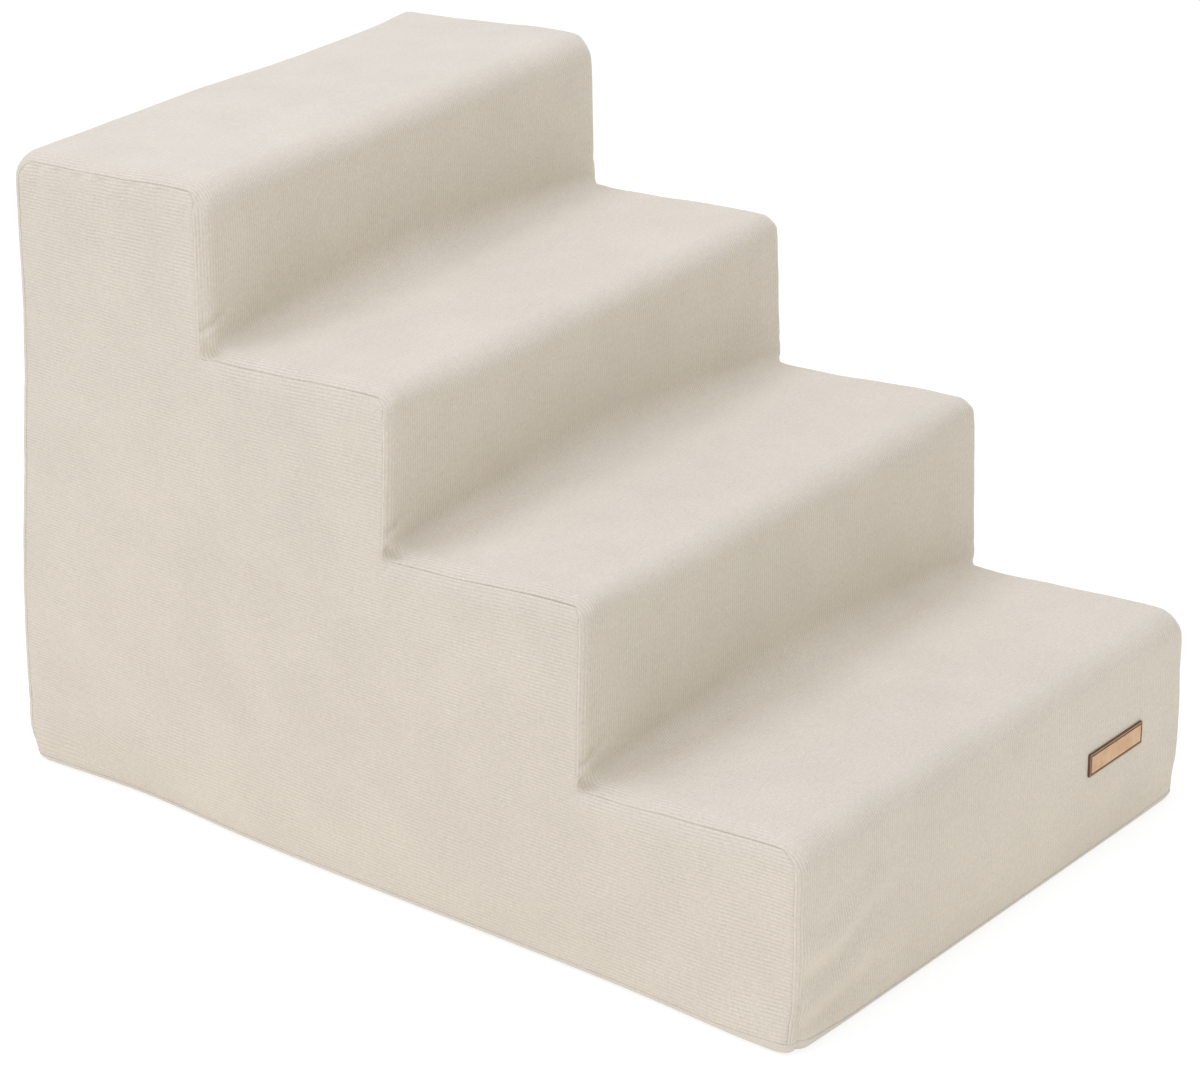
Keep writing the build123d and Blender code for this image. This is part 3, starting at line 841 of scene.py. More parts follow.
def seamShown(y, z):
    # how much of the fine seam line shows: little on the back half of each tread,
    # and least at the top and down the back
    shown = 1 - 0.9 * smooth(backY - 30, backY - 10, y)
    for number, (riser, end, tread) in enumerate(zip(riserYs, stepEnds, treadZs)):
        onTread = (1 - smooth(6, 14, np.abs(z - tread))) * smooth(riser + 5, riser + 20, y)
        onTread = onTread * (1 - smooth(end + 2, end + 8, y))
        fade = (0.0, 0.25) if number > 1 else (0.25, 0.55)
        shown = np.minimum(shown, 1 - 0.9 * onTread * smooth(*fade, (y - riser) / (end - riser)))
    return shown


def underTag(points):
    # 1 where the tag is bonded flat to the front riser, 0 away from it
    low, high = boxOf("leather_tag")
    inX = smooth(low.x - 16, low.x - 2, points[:, 0]) * (1 - smooth(high.x + 2, high.x + 16, points[:, 0]))
    inZ = smooth(low.z - 16, low.z - 2, points[:, 2]) * (1 - smooth(high.z + 2, high.z + 16, points[:, 2]))
    return inX * inZ * (points[:, 1] < frontY + 5)


def bandRelief(points, d, along):
    # the seam's rolled ridge, the fine line beside it and the slack of the cloth, in mm out from the cloth
    spec = reliefForm
    x, y, z = points.T
    tight, shown = seamStrength(points), seamShown(y, z)
    uneven, loose = waves(points, seamWaves), 1 - underTag(points)
    risen = (0.2 + 0.8 * smooth(13, 24, z)) * (0.7 + 0.3 * tight) * (0.3 + 0.7 * shown)
    relief = spec["ridge"] * risen * bell(d - spec["ridgeAt"], spec["ridgeWidth"])
    relief -= spec["valley"] * tight * shown * bell(d, spec["valleyWidth"])
    relief += spec["stitch"] * np.sin(along / spec["stitchTurn"] + 2 * uneven) * bell(d - 1.6, 1.4)
    relief += spec["gathers"] * np.sin(along / spec["gatherTurn"] + 3 * uneven) * bell(d - 5, 3.0)
    calm = smooth(4, 40, d) * smooth(14, 40, z) * loose
    relief += (spec["slack"] * waves(points, slackWaves) + spec["ripple"] * waves(points, rippleWaves)) * calm
    # slack folds that climb the front riser from its lower corners
    onFront = (1 - smooth(frontY + 2, frontY + 8, y)) * smooth(14, 26, z) * (1 - smooth(60, 100, z))
    onFront = onFront * smooth(3, 12, d) * (1 - smooth(50, 130, d)) * np.where(x < 0, 1.0, spec["rightFold"])
    slope = (z - spec["foldSlope"] * (halfWidth - np.abs(x))) / spec["foldTurn"]
    return relief + spec["fold"] * np.sin(slope + 1.2 * waves(points, bandWaves)) * onFront * loose


tuckForm = {
    # sewn by hand, the left side's corners are gathered more tightly than the right side's
    "left": 1.0, "right": 0.2,
    "crease": 2.0, "creaseWidth": 2.4, "creaseHeight": 11.0, "creaseSlope": 0.45, "roll": 0.8, "rollWidth": 3.0,
    "pit": 2.6, "pitSize": 7.0, "fill": 4.0, "fillSize": 9.0, "nose": 0.5,
}


def tucks(points, d):
    # where the cloth is gathered: a crease and a roll out of each inner corner, and a pinch under each nosing
    spec = tuckForm
    relief = np.zeros(len(points))
    x, y, z = points.T
    for tread, riser in zip(treadZs, riserYs[1:]):
        up, out = z - tread, riser - y
        onRiser = (np.abs(out) < 9) & (up > 1) & (up < 60)
        off = up - spec["creaseHeight"] - spec["creaseSlope"] * d
        crease = bell(off, spec["creaseWidth"]) * smooth(1, 4, d) * (1 - smooth(12, 28, d))
        roll = bell(off + 5, spec["rollWidth"]) * smooth(1, 4, d) * (1 - smooth(7, 16, d))
        relief += np.where(onRiser, spec["roll"] * roll - spec["crease"] * crease, 0)
        near = np.hypot(out, up)
        relief -= spec["pit"] * bell(near, spec["pitSize"]) * bell(d - 4.5, 4.5) * smooth(0, 2.5, d)
        # the looser corners of the right side are filled out instead
        filled = bell(near, spec["fillSize"]) * smooth(1, 5, d) * (1 - smooth(20, 60, d))
        relief += np.where(x > 0, spec["fill"] * filled, 0)
    for tread, riser in zip(treadZs, riserYs):
        off = tread - 12 - z - 0.5 * d
        onRiser = (y < riser + 12) & (y > riser - 3)
        pinch = bell(off - 5, 3.5) * (1 - smooth(6, 14, d)) - bell(off, 2.6) * (1 - smooth(5, 14, d))
        relief += np.where(onRiser, spec["nose"] * pinch, 0)
    return relief * np.where(x < 0, spec["left"], spec["right"])


def hemAtWindow(grid, us, along, foldZ, foldSign, hemEnd):
    # the zip's window is left open, and its edge is folded back inside as a hem:
    # the faces of the grid without the window and with the hem, and the hem's points and cloth places
    rows, columns = grid.shape[:2]
    backRow = grid[:, columns // 2]
    onBack = np.where(backRow[:, 1] > backY - 0.01)[0]
    windowRow = int(onBack[np.argmin(np.abs(backRow[onBack, 2] - foldZ))])
    inWindow = np.abs(grid[windowRow, :, 0]) <= zipWindow["halfLength"] + 0.01
    faces = []
    for face in quads(rows, columns):
        r, c = divmod(face[0], columns)
        beyond = r >= windowRow if foldSign > 0 else r < windowRow
        if not (beyond and inWindow[c] and inWindow[c + 1]):
            faces.append(face)
    windowColumns = [c for c in range(columns) if inWindow[c]]
    fold = zipWindow["fold"]
    turns = np.radians(np.linspace(0, 180, 7)[1:])
    hemRows = [(backY - fold + fold * math.cos(t), foldZ - foldSign * fold * math.sin(t)) for t in turns]
    hemRows += [(backY - 2 * fold, foldZ + (hemEnd - foldZ) * share) for share in (0.25, 0.6, 1.0)]
    points, uv, previous = [], [], [windowRow * columns + c for c in windowColumns]
    for number, (y, z) in enumerate(hemRows):
        first = rows * columns + len(points)
        points += [(grid[windowRow, c, 0], y, z) for c in windowColumns]
        v = (along[windowRow] + foldSign * (number + 1) * 1.2) * mm
        uv += [(us[windowRow, c] * mm, v) for c in windowColumns]
        current = list(range(first, first + len(windowColumns)))
        for k in range(len(windowColumns) - 1):
            quad = (previous[k], previous[k + 1], current[k + 1], current[k])
            faces.append(quad if foldSign > 0 else quad[::-1])
        previous = current
    return faces, points, uv


def buildClothStrip(name, node, cloth, along, foldZ, foldSign, hemEnd):
    grid, us, ds = cloth
    spec = reliefForm
    normals = gridNormals(grid).reshape(-1, 3)
    points = grid.reshape(-1, 3)
    x, y, z = points.T
    d, s = ds.ravel(), np.repeat(along, grid.shape[1])
    relief = bandRelief(points, d, s) + tucks(points, d)
    relief -= spec["baseLine"] * bell(z - coverForm["baseSeam"], spec["baseLineWidth"])
    beyond = (y > backY - 12) & (np.abs(x) > zipWindow["halfLength"] + 1)
    relief -= np.where(beyond, spec["shortSeam"] * bell(z - zipZ, spec["shortSeamWidth"]), 0)
    # calm where the zip is sewn
    sewn = smooth(backY - 12, backY - 3, y) * (1 - smooth(62, 90, z))
    points = points + normals * (relief * (1 - sewn * smooth(10, 18, d)))[:, None]
    faces, hemPoints, hemUv = hemAtWindow(grid, us, along, foldZ, foldSign, hemEnd)
    points = settle(np.vstack([points, hemPoints]))
    uv = np.vstack([np.column_stack([us.ravel(), s]) * mm, hemUv])
    used = np.zeros(len(points), bool)
    for face in faces:
        used[list(face)] = True
    renumber = np.cumsum(used) - 1
    faces = [tuple(renumber[i] for i in face) for face in faces]
    piece = meshObject(name, points[used], faces, uv[used], needlecord)
    thickened(piece, coverForm["cloth"])
    return finish(piece, "stairs", "cord_cloth", node)


swelling = simulateCover(softening)
bandCloth = clothGrid(bandStops)
stripCloth = clothGrid(stripStops, isStrip=True)
bandGrid, stripGrid = bandCloth[0], stripCloth[0]
bandAlong = lengthAlong(bandGrid[:, bandGrid.shape[1] // 2])
bandLength = bandAlong[-1]
stripAlong = bandLength + (zipZ - np.array(stripStops))
stepBand = buildClothStrip("stepBand", "step_band", bandCloth, bandAlong, foldTop, 1, 56.0)
lowerStrip = buildClothStrip("backLowerStrip", "back_lower_strip", stripCloth, stripAlong, foldBottom, -1, 24.0)
print("band and lower strip made:", len(stepBand.data.vertices), "points,",
      "cloth", round(clothWidth), "x", round(bandLength), "mm")


# the side panels

panelForm = {
    "cell": 5.2, "rings": [0.5, 1.0, 1.6, 2.3, 3.2, 4.4, 6.0, 8.0, 10.5], "bottomPoints": 138,
    "rounding": 11.0, "ridge": 0.25, "ridgeAt": 2.2, "ridgeWidth": 1.3, "slack": 0.45, "ripple": 0.2,
    # the small puckers' number and width; and those below the top back corner, which run further in:
    # distance from the corner, depth and reach
    "puckers": 46, "puckerWidth": 2.1, "topPuckerWidth": 5.0,
    "topPuckers": (
        (12, 1.3, 40), (30, 1.5, 55), (46, 1.6, 50), (66, 1.3, 45), (90, 1.1, 40), (118, 0.9, 30),
    ),
}


def fillOutline(outline, inside):
    # triangles of the area inside a closed outline, through the given inner points
    count = len(outline)
    everything = [Vector(p) for p in np.vstack([outline, inside])]
    edges = [(i, (i + 1) % count) for i in range(count)]
    places, _, triangles, originals, _, _ = delaunay_2d_cdt(everything, edges, [], 1, 1e-6)
    order = [o[0] if o else -1 for o in originals]
    if -1 in order or len(places) != len(everything):
        print("outline filled with", len(places), "places for", len(everything), "points")
    return [tuple(order[i] for i in t) for t in triangles]


def nearestOn(line, points):
    # the distance to a line's points, and which one is nearest
    best = np.full(len(points), 1e9)
    which = np.zeros(len(points), int)
    for index, place in enumerate(line):
        gap = np.hypot(points[:, 0] - place[0], points[:, 1] - place[1])
        closer = gap < best
        best[closer], which[closer] = gap[closer], index
    return best, which


def inwardNormals(line):
    tangent = np.gradient(line, axis=0)
    normal = np.column_stack([tangent[:, 1], -tangent[:, 0]])
    return normal / np.linalg.norm(normal, axis=1, keepdims=True)


def panelInside(spec, seam, bottom, outline):
    # the points inside a side panel: rings along its edge, and even cells within them
    rings = []
    for number, ring in enumerate(spec["rings"]):
        step = 1 if number < 5 else 2
        for line, normals in ((seam, inwardNormals(seam)), (bottom, np.tile((0.0, 1.0), (len(bottom), 1)))):
            ringPoints = line[::step] + normals[::step] * ring
            rings.append(ringPoints[nearestOn(outline, ringPoints)[0] >= 0.93 * ring])
    cell = spec["cell"]
    ys, zs = np.meshgrid(
        np.arange(frontY + 10, backY - 10, cell),
        np.arange(coverForm["baseSeam"], topZ - 8, cell * 0.866))
    ys = ys + (np.arange(len(ys)) % 2)[:, None] * cell / 2
    cells = np.column_stack([ys.ravel(), zs.ravel()])
    under = np.zeros(len(cells), bool)
    for riser, tread in zip(riserYs, treadZs):
        under |= (cells[:, 0] > riser + 10) & (cells[:, 1] < tread - 10)
    cells = cells[under & (cells[:, 0] < backY - 10)]
    clear = nearestOn(outline, cells)[0] > spec["rings"][-1] + 2.5
    return np.vstack(rings + [cells[clear]])


def panelPuckers(spec, seam, dSeam, seamS, seed):
    # short puckers square to the seam, where the sewing gathers the cloth
    rng = np.random.default_rng(seed)
    count = spec["puckers"]
    places = rng.uniform(20, seamS.max() - 20, count)
    depths = rng.uniform(0.08, 0.32, count)
    reaches = rng.uniform(6, 13, count)
    puckers = [(*given, spec["puckerWidth"]) for given in zip(places, depths, reaches)]
    cornerAt = int(np.argmin(np.hypot(seam[:, 0] - backY + 14, seam[:, 1] - topZ + 14)))
    topBack = lengthAlong(seam)[cornerAt]
    for offset, depth, reach in spec["topPuckers"]:
        puckers.append((topBack - offset, depth, reach, spec["topPuckerWidth"]))
    relief = np.zeros(len(dSeam))
    for place, depth, reach, width in puckers:
        fade = np.exp(-dSeam / reach) * smooth(0.6, 2.5, dSeam)
        relief -= depth * bell(seamS - place, width) * fade
        relief += 0.7 * depth * bell(seamS - place - 2 * width, 1.2 * width) * fade
    return relief


seamLine = np.vstack([bandGrid[:, 0], stripGrid[1:, 0]])


def makeSidePanel(side, name, node, seed):
    spec = panelForm
    seam = seamLine[:, 1:]
    seamBack = halfWidth - np.abs(seamLine[:, 0])
    bottomYs = np.linspace(seam[-1, 0], seam[0, 0], spec["bottomPoints"])[1:-1]
    bottom = np.column_stack([bottomYs, np.full(len(bottomYs), coverForm["baseSeam"])])
    outline = np.vstack([seam, bottom])
    inside = panelInside(spec, seam, bottom, outline)
    triangles = fillOutline(outline, inside)
    flat = np.vstack([outline, inside])
    dSeam, which = nearestOn(seam, flat)
    dBase = flat[:, 1] - coverForm["baseSeam"]
    # the panel rounds over towards the seam where the seam lies back from it
    back = seamBack[which] * np.clip(1 - dSeam / spec["rounding"], 0, 1) ** 1.8
    atSide = np.full(len(flat), side * halfWidth)
    points = np.column_stack([atSide - side * back, flat])
    line = seamStrength(np.column_stack([atSide, seam[which]])) * seamShown(*seam[which].T)
    relief = spec["ridge"] * line * bell(dSeam - spec["ridgeAt"], spec["ridgeWidth"])
    relief -= reliefForm["valley"] * line * bell(dSeam, reliefForm["valleyWidth"])
    relief -= reliefForm["baseLine"] * bell(dBase, reliefForm["baseLineWidth"])
    calm = smooth(3, 40, dSeam) * smooth(1, 30, dBase)
    relief += (spec["slack"] * waves(points, slackWaves) + spec["ripple"] * waves(points, rippleWaves)) * calm
    relief += panelPuckers(spec, seam, dSeam, lengthAlong(seam)[which], seed)
    points[:, 0] += side * relief
    points = settle(points)
    piece = meshObject(name, points, facing(points, triangles, 0, side), flat[:, ::-1] * mm, needlecord)
    thickened(piece, coverForm["cloth"])
    return finish(piece, "stairs", "cord_cloth", node), bottom


leftPanel, panelBottom = makeSidePanel(-1, "leftSidePanel", "left_side_panel", 3)
rightPanel, _ = makeSidePanel(1, "rightSidePanel", "right_side_panel", 4)
print("side panels made:", len(leftPanel.data.vertices), "points each")


# the base panel

baseForm = {
    "inset": 4.5, "cornerRadius": 16.0, "lift": 0.6, "cell": 11.0, "cloth": 1.0, "curl": 14.0,
    "dotSpacing": 11.0, "dotRadius": 1.6, "dotHeight": 0.6, "dotZ": 0.62, "dotReach": 176, "dotMargin": 22,
}


def onFloorOutline(loop, radius, inset):
    # each point of the base seam taken to a rounded rectangle on the floor
    placed = loop.copy()
    placed[:, 0] = np.clip(loop[:, 0], -halfWidth + inset, halfWidth - inset)
    placed[:, 1] = np.clip(loop[:, 1], frontY + inset, backY - inset)
    for sx in (-1, 1):
        for cy, sy in ((frontY + radius, -1), (backY - radius, 1)):
            centre = np.array([sx * (halfWidth - radius), cy])
            away = loop - centre
            inCorner = (away[:, 0] * sx > 0) & (away[:, 1] * sy > 0)
            reach = np.linalg.norm(away[inCorner], axis=1, keepdims=True)
            placed[inCorner] = centre + away[inCorner] / reach * (radius - inset)
    return placed


def makeBase(spec):
    right = np.column_stack([np.full(len(panelBottom), halfWidth), panelBottom[::-1]])
    left = np.column_stack([np.full(len(panelBottom), -halfWidth), panelBottom])
    loop = np.vstack([bandGrid[0], right, stripGrid[-1][::-1], left])
    count = len(loop)
    tangent = np.roll(loop, -1, axis=0) - np.roll(loop, 1, axis=0)
    normal = np.column_stack([-tangent[:, 1], tangent[:, 0]])
    normal /= np.linalg.norm(normal, axis=1, keepdims=True)
    onFloor = onFloorOutline(loop[:, :2], spec["cornerRadius"], spec["inset"])
    lift, curl = spec["lift"], spec["curl"]
    # the seam's valley, a slight roll, and a quarter turn down to the flat underside
    levels = [(0, -0.3), (0.03, -0.1), (0.08, 0.15), (0.15, 0.25), (0.25, 0.15)]
    levels += [(t, 0.0) for t in np.linspace(0.34, 1, 9)]
    points, depth = [], []
    for share, proud in levels:
        turn = share * math.pi / 2
        ring = loop[:, :2] + (onFloor - loop[:, :2]) * (1 - math.cos(turn)) - normal * proud
        height = lift + (coverForm["baseSeam"] - lift) * (1 - math.sin(turn))
        points.append(np.column_stack([ring, np.full(count, height)]))
        depth.append(np.full(count, share * curl))
    faces = quads(len(levels), count, closed=True, flip=True)
    reachX, lowY, highY = halfWidth - 14, frontY + 14, backY - 14
    xs, ys = np.meshgrid(
        np.linspace(-reachX, reachX, round(2 * reachX / spec["cell"])),
        np.linspace(lowY, highY, round((highY - lowY) / spec["cell"])))
    inner = np.column_stack([xs.ravel(), ys.ravel()])
    # clear of the rounded corners
    fromEnd = np.minimum(inner[:, 1] - frontY, backY - inner[:, 1])
    corner = np.minimum(halfWidth - np.abs(inner[:, 0]), 99) + np.minimum(fromEnd, 99)
    inner = inner[corner > 34]
    offset = (len(levels) - 1) * count
    points = np.vstack(points + [np.column_stack([inner, np.full(len(inner), lift)])])
    triangles = facing(points[offset:], fillOutline(onFloor, inner), 2, -1)
    faces += [tuple(offset + i for i in t) for t in triangles]
    uv = points[:, :2].copy()
    uv[:offset + count] -= np.tile(normal, (len(levels), 1)) * (curl - np.concatenate(depth))[:, None] * 0.5
    piece = meshObject("basePanel", settle(points), faces, uv * mm, baseCloth)
    thickened(piece, spec["cloth"])
    return finish(piece, "stairs", "base_cloth", "base_panel")


basePanel = makeBase(baseForm)
print("base panel made:", len(basePanel.data.vertices), "points")


# Geometry Nodes: what repeats or follows a line

def newTree(name, inputs):
    tree = bpy.data.node_groups.new(name, "GeometryNodeTree")
    tree.interface.new_socket("Geometry", in_out="INPUT", socket_type="NodeSocketGeometry")
    for label, kind, value in inputs:
        socket = tree.interface.new_socket(label, in_out="INPUT", socket_type=f"NodeSocket{kind}")
        if value is not None:
            socket.default_value = value
    tree.interface.new_socket("Geometry", in_out="OUTPUT", socket_type="NodeSocketGeometry")
    return tree, partial(addNode, tree), tree.nodes.new("NodeGroupInput").outputs


def closeTree(tree, geometry, material):
    # the export drops instances, so they are made real and given their material here
    real = addNode(tree, "GeometryNodeRealizeInstances", {"Geometry": geometry})
    done = addNode(tree, "GeometryNodeSetMaterial", {"Geometry": real, "Material": material})
    addNode(tree, "NodeGroupOutput", {"Geometry": done}, out=None)
    return tree


def grown(name, host, tree, values):
    # a plain mesh from a node tree's result on a host mesh
    modifier = host.modifiers.new("grow", "NODES")
    modifier.node_group = tree
    for item in tree.interface.items_tree:
        if item.in_out == "INPUT" and item.name in values:
            modifier[item.identifier] = values[item.name]
    mesh = evaluatedMesh(host)
    host.modifiers.clear()
    mesh.name = name
    bpy.data.objects.remove(host)
    return linked(name, mesh)


def lineHost(points, closed=False):
    mesh = bpy.data.meshes.new("line")
    edges = [(i, i + 1) for i in range(len(points) - 1)] + ([(len(points) - 1, 0)] if closed else [])
    mesh.from_pydata((np.asarray(points, float) * mm).tolist(), edges, [])
    return linked("line", mesh)


def makeStitchTree():
    # stitches at an even pitch along a line, each a small grain of thread that leans a little at random
    tree, add, given = newTree("stitches", [
        ("Pitch", "Float", 0.004), ("Stitch Size", "Vector", (0.003, 0.0005, 0.0006)),
        ("Unevenness", "Float", 0.05), ("Seed", "Int", 1), ("Material", "Material", None),
    ])
    curve = add("GeometryNodeMeshToCurve", {"Mesh": given["Geometry"]})
    even = add("GeometryNodeResampleCurve", {"Curve": curve, "Length": given["Pitch"]}, mode="LENGTH")
    points = add("GeometryNodeCurveToPoints", {"Curve": even}, out=None, mode="EVALUATED")
    lean = add("FunctionNodeRandomValue", {
        "Min": (-1.0, -1.0, -1.0), "Max": (1.0, 1.0, 1.0), "Seed": given["Seed"],
    }, data_type="FLOAT_VECTOR")
    lean = add("ShaderNodeVectorMath", {0: lean, "Scale": given["Unevenness"]}, operation="SCALE")
    along = add("FunctionNodeAlignRotationToVector", {"Vector": points["Tangent"]}, axis="X")
    ball = add("GeometryNodeMeshUVSphere", {"Segments": 8, "Rings": 5, "Radius": 0.5})
    rotation = add("FunctionNodeRotateRotation", {
        "Rotation": along, "Rotate By": lean,
    }, rotation_space="GLOBAL")
    placed = add("GeometryNodeInstanceOnPoints", {
        "Points": points["Points"], "Instance": ball, "Rotation": rotation, "Scale": given["Stitch Size"],
    })
    return closeTree(tree, placed, given["Material"])


def makeCoilTree():
    # one side of a coil zip: a flattened helix of round filament about the line
    tree, add, given = newTree("zip coil", [
        ("Length", "Float", 0.35), ("Turns", "Float", 140.0), ("Width", "Float", 0.0017),
        ("Thickness", "Float", 0.0015), ("Filament", "Float", 0.00035), ("Place", "Vector", (0, 0, 0)),
        ("Material", "Material", None),
    ])
    helix = add("GeometryNodeCurveSpiral", {
        "Resolution": 12, "Rotations": given["Turns"],
        "Start Radius": 0.5, "End Radius": 0.5, "Height": given["Length"],
    })
    # the spiral stands along Z; it is laid along X and flattened
    parts = add("ShaderNodeSeparateXYZ", {0: add("GeometryNodeInputPosition")}, out=None)
    half = add("ShaderNodeMath", {0: given["Length"], 1: -0.5}, operation="MULTIPLY")
    x = add("ShaderNodeMath", {0: parts["Z"], 1: half}, operation="ADD")
    y = add("ShaderNodeMath", {0: parts["X"], 1: given["Thickness"]}, operation="MULTIPLY")
    z = add("ShaderNodeMath", {0: parts["Y"], 1: given["Width"]}, operation="MULTIPLY")
    laid = add("ShaderNodeCombineXYZ", {"X": x, "Y": y, "Z": z})
    laid = add("ShaderNodeVectorMath", {0: laid, 1: given["Place"]}, operation="ADD")
    helix = add("GeometryNodeSetPosition", {"Geometry": helix, "Position": laid})
    ring = add("GeometryNodeCurvePrimitiveCircle", {"Resolution": 6, "Radius": given["Filament"]})
    wire = add("GeometryNodeCurveToMesh", {"Curve": helix, "Profile Curve": ring, "Fill Caps": True})
    return closeTree(tree, add("GeometryNodeSetShadeSmooth", {"Geometry": wire}), given["Material"])


def makeDotTree():
    # soft grip dots, one at each point
    tree, add, given = newTree("grip dots", [
        ("Radius", "Float", 0.0015), ("Height", "Float", 0.0006), ("Material", "Material", None),
    ])
    dome = add("GeometryNodeMeshUVSphere", {"Segments": 8, "Rings": 4, "Radius": 1.0})
    size = add("ShaderNodeCombineXYZ", {"X": given["Radius"], "Y": given["Radius"], "Z": given["Height"]})
    placed = add("GeometryNodeInstanceOnPoints", {
        "Points": given["Geometry"], "Instance": dome, "Scale": size,
    })
    return closeTree(tree, add("GeometryNodeSetShadeSmooth", {"Geometry": placed}), given["Material"])


stitchTree = makeStitchTree()
coilTree = makeCoilTree()
dotTree = makeDotTree()


def makeGripDots(spec):
    # a staggered pattern under the base
    spacing, reach, margin = spec["dotSpacing"], spec["dotReach"], spec["dotMargin"]
    xs, ys = np.meshgrid(
        np.arange(-reach, reach + 1, spacing),
        np.arange(frontY + margin, backY - margin, spacing * 0.866))
    xs = xs + (np.arange(len(xs)) % 2)[:, None] * spacing / 2
    places = np.column_stack([xs.ravel(), ys.ravel(), np.full(xs.size, spec["dotZ"])])
    dots = grown("gripDots", lineHost(places), dotTree, {
        "Radius": spec["dotRadius"] * mm, "Height": spec["dotHeight"] * mm, "Material": gripDot,
    })
    print("grip dots made:", len(places))
    return finish(dots, "stairs", "base_cloth")


gripDots = makeGripDots(baseForm)


# seam threads, on the inside of the cover

threadForm = {
    "pitch": 3.4, "size": (3.0, 0.55, 0.55), "unevenness": 0.06,
    # how far they lie inside the cover's face, at the sides and at the base
    "sideInside": 3.6, "baseInside": 3.2, "cornerRadius": 9.0, "lineStep": 8.0,
}


def makeSeamThread(name, node, line, seed, closed=False):
    piece = grown(name, lineHost(settle(line), closed), stitchTree, {
        "Pitch": threadForm["pitch"] * mm, "Stitch Size": [v * mm for v in threadForm["size"]],
        "Unevenness": threadForm["unevenness"], "Seed": seed, "Material": seamThread,
    })
    return finish(piece, "stairs", "thread", node)


def baseThreadLine(spec):
    # round the base seam, with a rounded turn at each corner
    radius = spec["cornerRadius"]
    small = radius - spec["baseInside"]
    corners = []
    for sx, sy, start in ((-1, -1, 180), (1, -1, 270), (1, 1, 0), (-1, 1, 90)):
        cx, cy = sx * (halfWidth - radius), frontY + radius if sy < 0 else backY - radius
        for turn in np.radians(np.linspace(start, start + 90, 5)):
            corners.append((cx + small * math.cos(turn), cy + small * math.sin(turn), coverForm["baseSeam"]))
    line = []
    for a, b in zip(corners, corners[1:] + corners[:1]):
        steps = max(1, int(np.linalg.norm(np.subtract(b, a)) / spec["lineStep"]))
        line += [tuple(np.add(a, np.subtract(b, a) * k / steps)) for k in range(steps)]
    return np.array(line)


for side, word, seed in ((-1, "left", 21), (1, "right", 22)):
    sideXs = side * (np.abs(seamLine[:, 0]) - threadForm["sideInside"])
    line = np.column_stack([sideXs, seamLine[:, 1:]])
    makeSeamThread(f"{word}SeamThread", f"{word}_seam_thread", line[2:-2:2], seed)
makeSeamThread("baseSeamThread", "base_seam_thread", baseThreadLine(threadForm), 23, closed=True)
print("seam threads made")


# the foam core

foamForm = {
    "longestEdge": 34.0, "narrowed": 0.993,
    # the part below this height is pressed flatter and stays this far above the floor
    "lowPart": 16.0, "pressed": 0.5, "aboveFloor": 2.2,
}


def copyOfNode(node, name):
    # a merged copy of a CAD node's mesh, to be finished as a piece of its own
    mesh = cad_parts[node].data.copy()
    mesh.name = name
    mesh.materials.clear()
    with editing(mesh) as bm:
        bmesh.ops.remove_doubles(bm, verts=bm.verts, dist=0.005 * mm)
        bmesh.ops.dissolve_limit(bm, angle_limit=math.radians(0.5), verts=bm.verts, edges=bm.edges)
    return linked(name, mesh)


def makeFoamSlab(number, spec):
    # each slab is a merged copy whose long edges are split, so that it follows the soft form of the cover
    node = f"foam_slab_{number}"
    piece = copyOfNode(node, f"foamSlab{number}")
    mesh = piece.data
    with editing(mesh) as bm:
        bmesh.ops.triangulate(bm, faces=bm.faces)
        for _ in range(6):
            long = [e for e in bm.edges if e.calc_length() > spec["longestEdge"] * mm]
            if not long:
                break
            bmesh.ops.subdivide_edges(bm, edges=long, cuts=1, use_grid_fill=False)
            bmesh.ops.triangulate(bm, faces=bm.faces)
    inside = pointsOf(mesh)
    inside[:, 0] *= spec["narrowed"]
    settled = settle(inside)
    low = inside[:, 2] < spec["lowPart"]
    pressed = inside[low, 2] * spec["pressed"] + spec["aboveFloor"]
    settled[low, 2] = np.maximum(pressed, spec["aboveFloor"])
    mesh.vertices.foreach_set("co", (settled * mm).ravel())
    mesh.materials.append(foamCells)
    mesh.update()
    finish(piece, "stairs", "foam", node)


for number in range(1, 5):
    makeFoamSlab(number, foamForm)
print("foam slabs made")


# the zip

zipForm = {
    "turns": 140.0, "filament": 0.36, "tape": 0.7, "tapeColumns": 96, "tapeRows": 9,
    "stitchPitch": 4.0, "stitchSize": (3.1, 0.6, 0.62), "stitchSeeds": {"upper": 32, "lower": 30},
    # the tacks are kept low, because the pull tab passes over them
    "tackPitch": 0.5, "tackSize": (0.55, 2.2, 0.4), "tackSunk": 0.15, "tackSeeds": {-1: 40, 1: 42},
    # each metal piece's node, name, body and rounded edge
    "metal": (
        ("zip_top_stops", "zipTopStops", "stairs", 0.3), ("zip_bottom_stop", "zipBottomStop", "stairs", 0.3),
        ("zip_slider", "zipSlider", "slider", 0.22), ("zip_pull_tab", "zipPullTab", "pull_tab", 0.25),
    ),
}


def makeTape(half, spec):
    low, high = boxOf(f"zip_tape_{half}")
    xs = np.linspace(low.x, high.x, spec["tapeColumns"])
    zs = np.linspace(low.z, high.z, spec["tapeRows"])
    points = [(x, high.y, z) for z in zs for x in xs]
    uv = [(z * mm, x * mm) for z in zs for x in xs]
    faces = quads(len(zs), len(xs), flip=True)
    piece = meshObject(f"zipTape{half.capitalize()}", points, faces, uv, tapeCloth)
    thickened(piece, spec["tape"])
    finish(piece, "stairs", "zip_tape", f"zip_tape_{half}")


